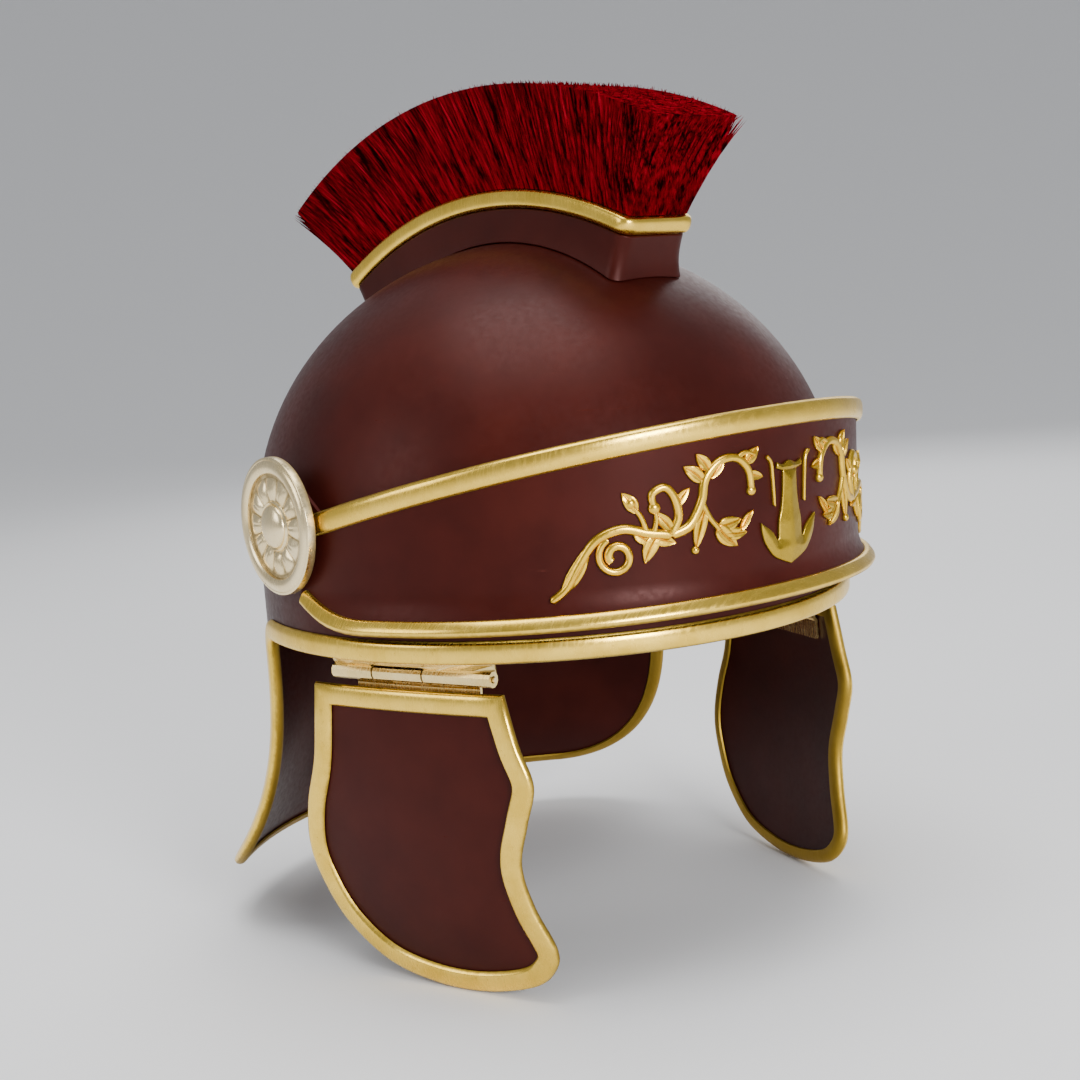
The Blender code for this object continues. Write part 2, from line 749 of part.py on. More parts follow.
def hinge_half(node, surface, outline, along_cuts, z_cuts, knuckles):
    """A leaf bent from sheet, its knuckles joined on and bored for the pin."""
    base = sheet(node, outline, along_cuts, z_cuts, surface, LEAF, "gilt")
    for n, span in enumerate(knuckles):
        rod = helper(f"{node}_rod{n}", lambda bm: hinge_rod(bm, KNUCKLE_RADIUS, span))
        boolean(base, "UNION", rod)
    long_span = (HINGE_REAR - 5 * MM, HINGE_FRONT + 5 * MM)
    bore = helper(node + "_bore", lambda bm: hinge_rod(bm, KNUCKLE_BORE, long_span, 8))
    boolean(base, "DIFFERENCE", bore)
    mesh = finished_mesh(node, base)
    return add_object(node, mesh, "gilt", 35.0)


LEAF_OUT = HINGE_OUT - 1.5 * MM
gap = 0.35 * MM
rear_split, front_split = KNUCKLE_SPLITS
clear_of_knuckle = KNUCKLE_RADIUS + 0.5 * MM
sink = 0.6 * MM  # how far a leaf runs past the hinge's axis, inside its knuckles
tab = 0.15 * MM  # a leaf's tab is this much narrower than its knuckle
leaf_top = 17.0 * MM
tab_low = HINGE_Z - sink
tab_high = HINGE_Z + clear_of_knuckle
fixed_outline = [
    (HINGE_REAR + tab, tab_low),
    (rear_split - gap - tab, tab_low),
    (rear_split - gap - tab, tab_high),
    (front_split + gap + tab, tab_high),
    (front_split + gap + tab, tab_low),
    (HINGE_FRONT - tab, tab_low),
    (HINGE_FRONT - tab, leaf_top),
    (HINGE_REAR + tab, leaf_top),
]
fixed = hinge_half(
    "hinge_leaf_right",
    bowl_leaf_surface,
    fixed_outline,
    [a * MM for a in (-17, -3, 11, 27)],
    [z * MM for z in (-5.9, -1.0, 6.4, 7.8)],
    [(HINGE_REAR, rear_split - gap), (front_split + gap, HINGE_FRONT)],
)
knuckle_z = HINGE_Z - clear_of_knuckle
moving_outline = [
    (-22.0 * MM, -28.0 * MM),
    (34.0 * MM, -28.0 * MM),
    (34.0 * MM, knuckle_z),
    (front_split - gap - tab, knuckle_z),
    (front_split - gap - tab, HINGE_Z + sink),
    (rear_split + gap + tab, HINGE_Z + sink),
    (rear_split + gap + tab, knuckle_z),
    (-22.0 * MM, knuckle_z),
]
moving = hinge_half(
    "cheek_leaf_right",
    cheek_leaf_surface,
    moving_outline,
    [a * MM for a in (-3, 17)],
    [z * MM for z in (-19.5, -18.0, -11.0, -6.1)],
    [(rear_split + gap, front_split - gap)],
)
pin_span = (HINGE_REAR - 1 * MM, HINGE_FRONT + 1 * MM)
pin = helper("pin", lambda bm: hinge_rod(bm, HINGE_PIN, pin_span, 8))
pin_mesh = finished_mesh("hinge_pin_right", pin)
hinge_pin = add_object("hinge_pin_right", pin_mesh, "gilt")
mirror_copy("hinge_leaf_left", fixed, "gilt", 35.0)
mirror_copy("cheek_leaf_left", moving, "gilt", 35.0)
mirror_copy("hinge_pin_left", hinge_pin, "gilt", 35.0)


# Relief on the brow guard: an anchor at the face and a vine scroll on each side.
# Flat shapes in (right of the middle line, height) are joined and then laid on the sheet.


def prism(points, high):
    """A closed flat shape of this thickness."""
    bm = bmesh.new()
    face = bm.faces.new([bm.verts.new((x * MM, z * MM, 0.0)) for x, z in points])
    raised = bmesh.ops.extrude_face_region(bm, geom=[face])
    verts = [part for part in raised["geom"] if isinstance(part, bmesh.types.BMVert)]
    bmesh.ops.translate(bm, verts=verts, vec=(0, 0, high))
    made = bpy.data.objects.new("shape", mesh_of("shape", bm))
    helpers.objects.link(made)
    return made


def ribbon(line, widths):
    """Outline of a stem that follows a line of points, its width changing along it."""
    left, right = [], []
    for i, (x, z) in enumerate(line):
        a = line[max(i - 1, 0)]
        b = line[min(i + 1, len(line) - 1)]
        dx, dz = b[0] - a[0], b[1] - a[1]
        long = math.hypot(dx, dz)
        half = 0.5 * (widths[0] + (widths[1] - widths[0]) * i / (len(line) - 1))
        left.append((x - dz / long * half, z + dx / long * half))
        right.append((x + dz / long * half, z - dx / long * half))
    return left + right[::-1]


def leaf_shape(foot, tip, wide):
    """Outline of a pointed leaf between two points."""
    dx, dz = tip[0] - foot[0], tip[1] - foot[1]
    long = math.hypot(dx, dz)
    side = (-dz / long * 0.5 * wide, dx / long * 0.5 * wide)
    outline = []
    for part, sign in ((0.0, 0), (0.42, 1), (1.0, 0), (0.42, -1)):
        outline.append(
            (foot[0] + dx * part + side[0] * sign, foot[1] + dz * part + side[1] * sign)
        )
    return outline


def circle_arc(centre, radius, start_deg, end_deg, steps):
    return [
        (centre[0] + radius * math.cos(a), centre[1] + radius * math.sin(a))
        for a in quarter(start_deg, end_deg, steps)
    ]


def laid_on_brow(node, mesh):
    """A flat shape cut every 10 mm and bent round the brow guard's outer face."""
    bm = bmesh.new()
    bm.from_mesh(mesh)
    flat = math.radians(0.5)
    bmesh.ops.dissolve_limit(bm, angle_limit=flat, verts=bm.verts, edges=bm.edges)
    low = min(v.co.x for v in bm.verts)
    high = max(v.co.x for v in bm.verts)
    at = low + 10.0 * MM
    while at < high:
        geometry = bm.verts[:] + bm.edges[:] + bm.faces[:]
        bmesh.ops.bisect_plane(bm, geom=geometry, plane_co=(at, 0, 0), plane_no=(1, 0, 0))
        at += 10.0 * MM
    degree = math.radians(1.0) * BROW_RY
    for vert in bm.verts:
        point, normal = frame_at(brow_surface, vert.co.x / degree, vert.co.y)
        vert.co = point + normal * (vert.co.z + RELIEF_FIT)
    bmesh.ops.remove_doubles(bm, verts=bm.verts, dist=0.005 * MM)
    bmesh.ops.triangulate(bm, faces=bm.faces)
    return mesh_of(node, bm)


def relief(node, shapes):
    base = prism(*shapes[0])
    for shape in shapes[1:]:
        boolean(base, "UNION", prism(*shape))
    return add_object(node, laid_on_brow(node, finished_mesh(node, base)), "gilt", 30.0)


# Half of the anchor's outline, from its top to its lowest point
ANCHOR_HALF = [
    (6.4, 62.6),
    (6.4, 59.8),
    (3.6, 59.4),
    (3.9, 48.0),
    (4.6, 38.0),
    (7.4, 36.4),
    (10.0, 39.6),
    (11.0, 46.6),
    (14.6, 41.6),
    (14.0, 36.2),
    (10.4, 30.6),
    (5.6, 27.4),
    (0.0, 25.4),
]
anchor_outline = ANCHOR_HALF + [(-x, z) for x, z in reversed(ANCHOR_HALF[:-1])]
relief("anchor", [(anchor_outline, RELIEF_HIGH)])


def scroll_shapes():
    """The vine scroll of the left side: stems and curls, then leaves and buds."""
    main = [(96, 23.5), (90, 27.5), (85, 36), (79, 43.5), (70, 46.2), (61, 44), (52, 42.5), (45, 45)]
    main += [(40, 53), (38, 61), (32, 66.5), (25, 66.8), (20, 62), (19, 55)]
    curl = circle_arc((72.5, 36.8), 6.6, 160, 426, 8)
    inner = circle_arc((71.8, 37.0), 4.0, 20, 205, 4)
    hook = [(52, 42.5), (49, 49), (50.5, 56), (54, 59.5), (58.5, 57.5), (58, 53)]
    fork = [(61, 44), (63, 50), (66.5, 54.5)]
    drop = [(40, 53), (37, 47), (33, 42)]
    return [
        (ribbon(main, (2.2, 3.0)), 1.15 * MM),
        (ribbon(curl, (3.4, 1.9)), 1.3 * MM),
        (ribbon(inner, (2.2, 1.8)), 1.0 * MM),
        (ribbon(hook, (2.8, 2.2)), 1.25 * MM),
        (ribbon(fork, (1.8, 1.6)), 1.0 * MM),
        (ribbon(drop, (1.8, 1.6)), 1.05 * MM),
        (leaf_shape((88, 29), (79.5, 45), 5.4), 1.5 * MM),
        (leaf_shape((64.5, 51.5), (69.5, 59), 5.2), 1.45 * MM),
        (leaf_shape((57, 43), (62.5, 33.5), 5.4), 1.4 * MM),
        (leaf_shape((60, 43.5), (50.5, 41), 5.0), 1.35 * MM),
        (leaf_shape((51.5, 43.5), (58.5, 51.5), 4.4), 1.5 * MM),
        (leaf_shape((39, 60), (45.5, 66), 4.6), 1.4 * MM),
        (leaf_shape((36.5, 63.5), (40, 70), 4.4), 1.35 * MM),
        (leaf_shape((34.5, 44), (26, 35.5), 6.0), 1.5 * MM),
        (leaf_shape((34, 43.5), (24.5, 45), 5.0), 1.3 * MM),
        (leaf_shape((38.5, 50), (42.5, 37), 5.0), 1.45 * MM),
        (leaf_shape((22, 64.5), (16, 69.5), 4.4), 1.3 * MM),
    ]


left_scroll = relief("scroll_left", scroll_shapes())
mirror_copy("scroll_right", left_scroll, "gilt", 30.0)
for leftover in [obj for obj in helpers.objects if obj.name.startswith("shape")]:
    bpy.data.objects.remove(leftover, do_unlink=True)
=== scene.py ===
"""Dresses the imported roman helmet: finer metal, gilt edging, cast relief and a horsehair crest.

The helmet faces -Y, the wearer's left is +X and +Z is up. Sizes are in metres, and right and
left are the wearer's.
"""

import math
import random

import bmesh
import bpy
from mathutils import Matrix, Vector
from mathutils.geometry import intersect_point_line


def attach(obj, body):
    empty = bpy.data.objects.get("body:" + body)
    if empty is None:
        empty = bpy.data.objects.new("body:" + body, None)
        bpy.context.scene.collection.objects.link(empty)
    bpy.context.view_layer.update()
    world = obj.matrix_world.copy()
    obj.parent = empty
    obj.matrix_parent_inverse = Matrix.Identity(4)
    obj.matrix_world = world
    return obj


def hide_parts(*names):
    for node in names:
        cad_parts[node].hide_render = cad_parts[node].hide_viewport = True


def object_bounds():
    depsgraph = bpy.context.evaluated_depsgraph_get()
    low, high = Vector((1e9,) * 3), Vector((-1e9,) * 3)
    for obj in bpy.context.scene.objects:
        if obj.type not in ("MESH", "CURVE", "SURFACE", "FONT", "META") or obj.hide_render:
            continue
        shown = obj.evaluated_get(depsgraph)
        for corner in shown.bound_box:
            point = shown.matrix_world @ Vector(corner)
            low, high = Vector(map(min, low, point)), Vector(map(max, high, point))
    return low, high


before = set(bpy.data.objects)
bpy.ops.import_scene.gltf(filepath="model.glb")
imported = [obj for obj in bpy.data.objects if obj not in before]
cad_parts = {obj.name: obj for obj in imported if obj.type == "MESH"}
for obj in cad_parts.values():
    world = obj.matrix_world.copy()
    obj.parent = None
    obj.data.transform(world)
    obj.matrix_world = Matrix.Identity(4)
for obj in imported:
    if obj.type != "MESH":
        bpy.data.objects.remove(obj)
cad_box = [list(corner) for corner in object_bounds()]

MM = 0.001

# The studio: pale paper under the cheek pieces' tips that rises all round without a horizon, soft
# light from the front and above, and the camera to the right of the wearer's face.

FLAT_REACH = 1.8
DISH_REACH = 8.0
DISH_RISE = 6.5
DISH_CURVE = 2.2
DISH_STEPS = 24
DISH_SIDES = 72
FLOOR_GAP = 0.3 * MM
HELMET_MIDDLE = Vector((0.0, 0.0, 0.05))


def put_on_stage(name, data):
    """A new object of the scene, from a mesh, a lamp or a camera."""
    made = bpy.data.objects.new(name, data)
    bpy.context.scene.collection.objects.link(made)
    return made


def fill(node, links):
    """Fills a node's inputs in from (input, value or output socket) pairs."""
    for target, source in links:
        socket = node.inputs[target]
        if hasattr(source, "is_output"):
            node.id_data.links.new(source, socket)
        else:
            socket.default_value = source


bm = bmesh.new()
bmesh.ops.create_circle(bm, cap_ends=True, segments=DISH_SIDES, radius=FLAT_REACH)
edge = [side for side in bm.edges if side.is_boundary]
for step in range(1, DISH_STEPS + 1):
    share = step / DISH_STEPS
    grown = bmesh.ops.extrude_edge_only(bm, edges=edge)["geom"]
    edge = [part for part in grown if isinstance(part, bmesh.types.BMEdge)]
    reach = FLAT_REACH + (DISH_REACH - FLAT_REACH) * share
    lift = Vector((0, 0, DISH_RISE * share**DISH_CURVE))
    for vert in [part for part in grown if isinstance(part, bmesh.types.BMVert)]:
        vert.co = vert.co.xy.to_3d().normalized() * reach + lift
floor_mesh = bpy.data.meshes.new("studio_floor")
bm.to_mesh(floor_mesh)
bm.free()
floor_mesh.shade_smooth()
floor = put_on_stage("studio_floor", floor_mesh)
floor.location.z = cad_box[0][2] - FLOOR_GAP
paper = bpy.data.materials.new("studio_paper")
paper.use_nodes = True
matt = [("Base Color", (0.86, 0.86, 0.87, 1)), ("Roughness", 1.0), ("Specular IOR Level", 0.0)]
fill(paper.node_tree.nodes["Principled BSDF"], matt)
floor_mesh.materials.append(paper)

world = bpy.data.worlds.new("studio")
bpy.context.scene.world = world
world.use_nodes = True
sky = [("Color", (0.82, 0.84, 0.87, 1)), ("Strength", 0.52)]
fill(world.node_tree.nodes["Background"], sky)


def soft_light(name, place, power, size):
    """A square area light of so many watts and metres, aimed at the helmet's middle."""
    lamp = bpy.data.lights.new(name, "AREA")
    lamp.energy = power
    lamp.size = size
    lit = put_on_stage(name, lamp)
    lit.location = place
    aim = HELMET_MIDDLE - Vector(place)
    lit.rotation_mode = "QUATERNION"
    lit.rotation_quaternion = aim.to_track_quat("-Z", "Y")


soft_light("key", (-0.42, -1.5, 0.42), 27, 0.5)
soft_light("top", (-0.1, -0.1, 1.7), 26, 1.3)
soft_light("side", (-1.5, 0.35, 0.75), 7, 0.8)
soft_light("back", (1.2, 0.9, 0.9), 9, 1.3)

camera = bpy.data.cameras.new("camera")
camera.lens = 57.03
camera.sensor_width = 36.0
camera.clip_start = 0.01
viewer = put_on_stage("camera", camera)
viewer.location = (-0.4754, -0.5365, 0.1275)
turn = Matrix.Rotation(math.radians(-41.2), 4, "Z")
tilt = Matrix.Rotation(math.radians(82.0), 4, "X")
roll = Matrix.Rotation(math.radians(-4.29), 4, "Z")
viewer.rotation_mode = "QUATERNION"
viewer.rotation_quaternion = (turn @ tilt @ roll).to_quaternion()
bpy.context.scene.camera = viewer


# Bowl and neck guard: one sheet of iron, raised by hammering and finished in a dark red-brown
# lacquer. The hammer leaves broad shallow planishing marks, and the lacquer wears a little lighter.

BOWL_RX = 120.5 * MM
BOWL_RY = 122.0 * MM
DOME_BASE = 39.0 * MM
DOME_RISE = 113.2 * MM
SHEET = 1.6 * MM
NECK_DROP = 107.0 * MM
NECK_FLARE = 26.0 * MM
NECK_FLARE_POWER = 2.8
NECK_FRONT_DEG = 114.0
NECK_CORNER_DEG = 26.0
NECK_CORNER_RISE = 75.0 * MM
RIM_CORNER = 7.0 * MM
EDGE_LIP = 2.5 * MM
TURN_STEP = 3.0
NECK_STEP = 6.0 * MM
DOME_STEP = 5.5 * MM
LACQUER = (0.046, 0.0064, 0.0040, 1)
LACQUER_DEEP = (0.028, 0.0034, 0.0021, 1)
LACQUER_WORN = (0.13, 0.030, 0.021, 1)
FLOAT, COLOUR = "NodeSocketFloat", "NodeSocketColor"


def finish_group(name, **inputs):
    """A node group for a finish: its named inputs, and the three outputs that each finish has."""
    group = bpy.data.node_groups.new(name, "ShaderNodeTree")
    for label, value in inputs.items():
        kind = COLOUR if isinstance(value, tuple) else FLOAT
        group.interface.new_socket(label, in_out="INPUT", socket_type=kind).default_value = value
    for label, kind in (("Color", COLOUR), ("Roughness", FLOAT), ("Height", FLOAT)):
        group.interface.new_socket(label, in_out="OUTPUT", socket_type=kind)
    ends = group.nodes.new("NodeGroupInput"), group.nodes.new("NodeGroupOutput")
    return group, ends[0].outputs, ends[1]


def add_node(tree, kind, links=(), **values):
    """A node with its properties set and (input, value or output socket) pairs filled in."""
    node = tree.nodes.new(kind)
    for key, value in values.items():
        setattr(node, key, value)
    fill(node, links)
    return node


def blend_colour(tree, factor, first, second):
    links = [(0, factor), (6, first), (7, second)]
    return add_node(tree, "ShaderNodeMix", links, data_type="RGBA").outputs[2]


def remap(tree, value, low, high, to_low, to_high):
    links = enumerate((value, low, high, to_low, to_high))
    return add_node(tree, "ShaderNodeMapRange", links).outputs[0]


def maths(tree, operation, *values, **settings):
    node = add_node(tree, "ShaderNodeMath", enumerate(values), operation=operation, **settings)
    return node.outputs[0]


def noise(tree, place, scale, detail, roughness):
    links = [("Vector", place), ("Scale", scale), ("Detail", detail), ("Roughness", roughness)]
    return add_node(tree, "ShaderNodeTexNoise", links).outputs[0]


def stretched(tree, place, scale, rotation=(0, 0, 0)):
    """Coordinates turned and scaled unevenly, so that a noise on them runs in streaks."""
    links = [("Vector", place), ("Rotation", rotation), ("Scale", scale)]
    return add_node(tree, "ShaderNodeMapping", links).outputs[0]


# Lacquer over hammered iron: cloudy depth, fine rubbed scratches, hammer marks
lacquer_group, group_in, group_out = finish_group(
    "lacquered_iron", Lacquer=LACQUER, Deep=LACQUER_DEEP, Worn=LACQUER_WORN, Wear=0.3
)
tree = lacquer_group
place = add_node(tree, "ShaderNodeTexCoord").outputs["Object"]
clouds = noise(tree, place, 22.0, 4.0, 0.6)
grain = noise(tree, place, 420.0, 3.0, 0.6)
hammer = noise(tree, place, 70.0, 0.0, 0.5)
scratch = noise(tree, stretched(tree, place, (60, 60, 900), (0.5, 0.3, 0.9)), 1.0, 2.0, 0.5)
cloudy = remap(tree, clouds, 0.35, 0.68, 0, 1)
deep = blend_colour(tree, cloudy, group_in["Deep"], group_in["Lacquer"])
rubbed = remap(tree, scratch, 0.66, 0.78, 0, 1)
patchy = remap(tree, noise(tree, place, 48.0, 5.0, 0.7), 0.56, 0.7, 0, 1)
wear_here = maths(tree, "MULTIPLY", rubbed, patchy)
wear = maths(tree, "MULTIPLY", wear_here, group_in["Wear"])
worn = blend_colour(tree, wear, deep, group_in["Worn"])
dull = remap(tree, grain, 0.3, 0.7, 0.34, 0.46)
polish = maths(tree, "SUBTRACT", dull, wear, use_clamp=True)
marks = remap(tree, hammer, 0.2, 0.8, 0.0, 1.0)
fine = maths(tree, "MULTIPLY_ADD", grain, 0.05, marks)
fill(group_out, [("Color", worn), ("Roughness", polish), ("Height", fine)])


def finish_material(name, group, bump_depth, bump_distance, **values):
    """A material that wears a finish group, with its values and bump, and its shader."""
    made = bpy.data.materials.new(name)
    made.use_nodes = True
    tree = made.node_tree
    finish = add_node(tree, "ShaderNodeGroup", values.items(), node_tree=group).outputs
    relief = [("Height", finish["Height"]), ("Strength", bump_depth), ("Distance", bump_distance)]
    bump = add_node(tree, "ShaderNodeBump", relief).outputs["Normal"]
    shader = tree.nodes["Principled BSDF"]
    coat = [("Base Color", finish["Color"]), ("Roughness", finish["Roughness"]), ("Normal", bump)]
    fill(shader, coat)
    return made, shader


def lacquer_material(name, wear, hammer_depth):
    """Red-brown lacquer on iron with its own wear and hammer-mark depth."""
    made, shader = finish_material(name, lacquer_group, hammer_depth, 0.4 * MM, Wear=wear)
    fill(shader, [("Specular IOR Level", 0.2), ("Specular Tint", (1.0, 0.56, 0.53, 1))])
    return made


def piece(name, mesh, body, material, slot, smooth_deg=40.0):
    """Links a mesh as a piece of the helmet that rides on a body and stands for a solid."""
    made = put_on_stage(name, mesh)
    mesh.materials.append(material)
    mesh.shade_smooth()
    mesh.set_sharp_from_angle(angle=math.radians(smooth_deg))
    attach(made, body)
    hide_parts(slot)
    return made


def as_mesh(name, bm, tidy=True):
    if tidy:
        bmesh.ops.recalc_face_normals(bm, faces=bm.faces)
    mesh = bpy.data.meshes.new(name)
    bm.to_mesh(mesh)
    bm.free()
    return mesh


def apply_modifiers(obj):
    """Puts the modifiers' result into the object's own mesh."""
    graph = bpy.context.evaluated_depsgraph_get()
    mesh = bpy.data.meshes.new_from_object(obj.evaluated_get(graph))
    obj.modifiers.clear()
    obj.data = mesh


def arc(start_deg, end_deg, steps):
    """Angles of an arc in radians, both ends included."""
    return [math.radians(start_deg + (end_deg - start_deg) * i / steps) for i in range(steps + 1)]


def bowl_surface(azimuth, v):
    """Outer face: azimuth in degrees from the face, v the height, or arc length over the dome."""
    flare = 0.0
    if v > DOME_BASE:
        angle = min((v - DOME_BASE) / BOWL_RX, 0.5 * math.pi)
        spread, z = math.cos(angle), DOME_BASE + DOME_RISE * math.sin(angle)
    else:
        spread, z = 1.0, v
        if v < 0:
            flare = NECK_FLARE * (-v / NECK_DROP) ** NECK_FLARE_POWER
    a = math.radians(azimuth)
    across, along = BOWL_RX * spread + flare, BOWL_RY * spread + flare
    return Vector((across * math.sin(a), -along * math.cos(a), z))


def bowl_edge():
    """Left half of the sheet's lower edge, from the face to the back, as (azimuth, height)."""
    corner_deg = RIM_CORNER / (math.radians(1.0) * BOWL_RX)
    corner_z = EDGE_LIP - RIM_CORNER
    count = int((NECK_FRONT_DEG - corner_deg) / TURN_STEP)
    line = [(TURN_STEP * i, EDGE_LIP) for i in range(count + 1)]
    for angle in arc(90, 0, 10):
        a = NECK_FRONT_DEG - corner_deg + corner_deg * math.cos(angle)
        line.append((a, corner_z + RIM_CORNER * math.sin(angle)))
    straight_end = NECK_CORNER_RISE - NECK_DROP
    for i in range(1, 7):
        line.append((NECK_FRONT_DEG, corner_z + (straight_end - corner_z) * i / 7))
    for angle in arc(0, 90, 28):
        a = NECK_FRONT_DEG + NECK_CORNER_DEG * (1 - math.cos(angle))
        line.append((a, straight_end - NECK_CORNER_RISE * math.sin(angle)))
    first = math.ceil((NECK_FRONT_DEG + NECK_CORNER_DEG) / TURN_STEP + 0.3)
    return line + [(TURN_STEP * i, -NECK_DROP) for i in range(first, round(180 / TURN_STEP) + 1)]


def mirrored(half):
    """The whole edge from the back round the right side and the face to the back again."""
    right = [(-a, v) for a, v in reversed(half)]
    return right[:-1] + half


def sheet_mesh(name, outline, u_cuts, v_cuts, surface, thickness):
    """Sheet metal: a flat outline cut into a fine grid, laid on a surface and thickened inwards."""
    bm = bmesh.new()
    bm.faces.new([bm.verts.new((u, v, 0.0)) for u, v in outline])
    for cuts, normal in ((u_cuts, (1, 0, 0)), (v_cuts, (0, 1, 0))):
        for at in cuts:
            geometry = bm.verts[:] + bm.edges[:] + bm.faces[:]
            plane = tuple(at * part for part in normal)
            bmesh.ops.bisect_plane(bm, geom=geometry, plane_co=plane, plane_no=normal, dist=1e-7)
    for vert in bm.verts:
        vert.co = surface(vert.co.x, vert.co.y)
    bmesh.ops.remove_doubles(bm, verts=bm.verts, dist=0.01 * MM)
    bmesh.ops.recalc_face_normals(bm, faces=bm.faces)
    middle = Vector((0.0, 0.0, DOME_BASE))
    if sum(f.normal.dot(f.calc_center_median() - middle) for f in bm.faces) < 0:
        bmesh.ops.reverse_faces(bm, faces=bm.faces)
    holder = put_on_stage(name, as_mesh(name, bm, tidy=False))
    solid = holder.modifiers.new("thickness", "SOLIDIFY")
    solid.thickness = thickness
    solid.offset = -1.0
    solid.use_even_offset = True
    apply_modifiers(holder)
    mesh = holder.data
    bpy.data.objects.remove(holder)
    return mesh


def steps_between(low, high, step):
    count = max(1, round((high - low) / step))
    return [low + (high - low) * i / count for i in range(1, count)]


crown = DOME_BASE + 0.5 * math.pi * BOWL_RX
bowl_outline = mirrored(bowl_edge()) + [(180.0, crown), (-180.0, crown)]
bowl_turns = steps_between(-180, 180, TURN_STEP)
bowl_levels = steps_between(-NECK_DROP, 0.0, NECK_STEP) + [0.0, DOME_BASE]
bowl_levels += steps_between(DOME_BASE, crown, DOME_STEP)
bowl_mesh = sheet_mesh("bowl_sheet", bowl_outline, bowl_turns, bowl_levels, bowl_surface, SHEET)
bowl_lacquer = lacquer_material("bowl_lacquer", 0.5, 0.22)
piece("bowl_and_neck_guard", bowl_mesh, "helmet", bowl_lacquer, "bowl")


# Rim edging: half-round brass channel, gilt, pressed over the sheet's edge all round the bowl
# and the neck guard. It shines on its crown and has painted shade, a darker, greener gold, in its
# corners.

GILT_BRIGHT = (1.0, 0.67, 0.10, 1)
GILT_OLD = (0.68, 0.42, 0.03, 1)
GILT_SHADE_AND_DIRT = (0.15, 0.085, 0.009, 1)
EDGE_FIT = 0.4 * MM
CHANNEL_WALL = 0.75 * MM
ROUNDNESS = 2.6
ROUND_STEPS = 12
RIM_WIDE = 8.6 * MM
RIM_PROUD = 2.4 * MM
RIM_INNER_LEG = 3.4 * MM

gilt_group, group_in, group_out = finish_group(
    "old_gilding", Bright=GILT_BRIGHT, Old=GILT_OLD, Dirt=GILT_SHADE_AND_DIRT, Age=0.4, Grime=0.5
)
tree = gilt_group
place = add_node(tree, "ShaderNodeTexCoord").outputs["Object"]
tarnish = noise(tree, place, 60.0, 6.0, 0.65)
spots = noise(tree, place, 300.0, 4.0, 0.7)
strokes = noise(tree, stretched(tree, place, (150, 1500, 150), (0.2, 0.7, 0.4)), 1.0, 2.0, 0.5)
# hollow tells how deep a point lies in a hollow, where the gilt gets painted shade
hollow = add_node(tree, "ShaderNodeAttribute", attribute_name="hollow").outputs["Fac"]
cloudy = remap(tree, tarnish, 0.4, 0.65, 0, 1)
aged = maths(tree, "MULTIPLY", cloudy, group_in["Age"])
toned = blend_colour(tree, aged, group_in["Bright"], group_in["Old"])
# painted shade in the hollows with a ragged edge, plus real dirt flecks at random
ragged = maths(tree, "MULTIPLY_ADD", spots, 0.7, hollow)
in_hollow = remap(tree, ragged, 0.75, 1.2, 0.0, 1.0)
flecks = remap(tree, spots, 0.62, 0.72, 0.0, 0.35)
shade_and_dirt = maths(tree, "MAXIMUM", in_hollow, flecks)
shade_and_dirt = maths(tree, "MULTIPLY", shade_and_dirt, group_in["Grime"])
shaded_and_dirtied = blend_colour(tree, shade_and_dirt, toned, group_in["Dirt"])
shine = remap(tree, strokes, 0.3, 0.7, 0.2, 0.31)
shine = maths(tree, "MULTIPLY_ADD", shade_and_dirt, 0.35, shine)
relief_height = maths(tree, "MULTIPLY_ADD", strokes, 0.4, spots)
fill(group_out, [("Color", shaded_and_dirtied), ("Roughness", shine), ("Height", relief_height)])


def gilt_material(name, age, shade_and_grime, bright=GILT_BRIGHT, old=GILT_OLD, bump_depth=0.12):
    """Gilt brass; age mixes in the older tone, shade_and_grime sets painted shade and dirt flecks.
    """
    tones = {"Age": age, "Grime": shade_and_grime, "Bright": bright, "Old": old}
    made, shader = finish_material(name, gilt_group, bump_depth, 0.15 * MM, **tones)
    fill(shader, [("Metallic", 1.0)])
    return made


def face_at(surface, u, v):
    """Point and outward normal of a surface."""
    point = surface(u, v)
    along_u = surface(u + 0.05, v) - surface(u - 0.05, v)
    along_v = surface(u, v + 0.1 * MM) - surface(u, v - 0.1 * MM)
    normal = along_u.cross(along_v).normalized()
    if normal.dot(Vector((point.x, point.y, 0.0))) < 0:
        normal.negate()
    return point, normal


def channel(wide, proud, inner_leg, thickness):
    """Half-round section with a slot for the sheet, as (beyond the edge, above the face)."""
    under = -thickness - EDGE_FIT
    back = under - CHANNEL_WALL
    half = 0.5 * wide
    section = [(-inner_leg, under), (EDGE_FIT, under), (EDGE_FIT, EDGE_FIT)]
    for i in range(ROUND_STEPS + 1):
        t = -1 + 2 * i / ROUND_STEPS
        round_over = (1 - abs(t) ** ROUNDNESS) ** (1 / ROUNDNESS)
        section.append((EDGE_LIP - half + half * t, EDGE_FIT + (proud - EDGE_FIT) * round_over))
    for angle in arc(0, 90, 4)[1:]:
        beyond = EDGE_LIP - (EDGE_LIP + 0.2 * inner_leg) * (1 - math.cos(angle))
        section.append((beyond, EDGE_FIT + (back - EDGE_FIT) * math.sin(angle)))
    section.append((EDGE_FIT - inner_leg, back))
    return section


def with_hollows():
    """An empty bmesh whose points tell how deep they lie in a hollow, where painted shade falls."""
    bm = bmesh.new()
    return bm, bm.verts.layers.float.new("hollow")


def skin(bm, rings, closed=False):
    """Faces from each ring of points to the next, and from the last to the first if closed."""
    for one, two in zip(rings, rings[1:] + rings[: int(closed)]):
        for k in range(len(one)):
            j = (k + 1) % len(one)
            bm.faces.new((one[k], one[j], two[j], two[k]))


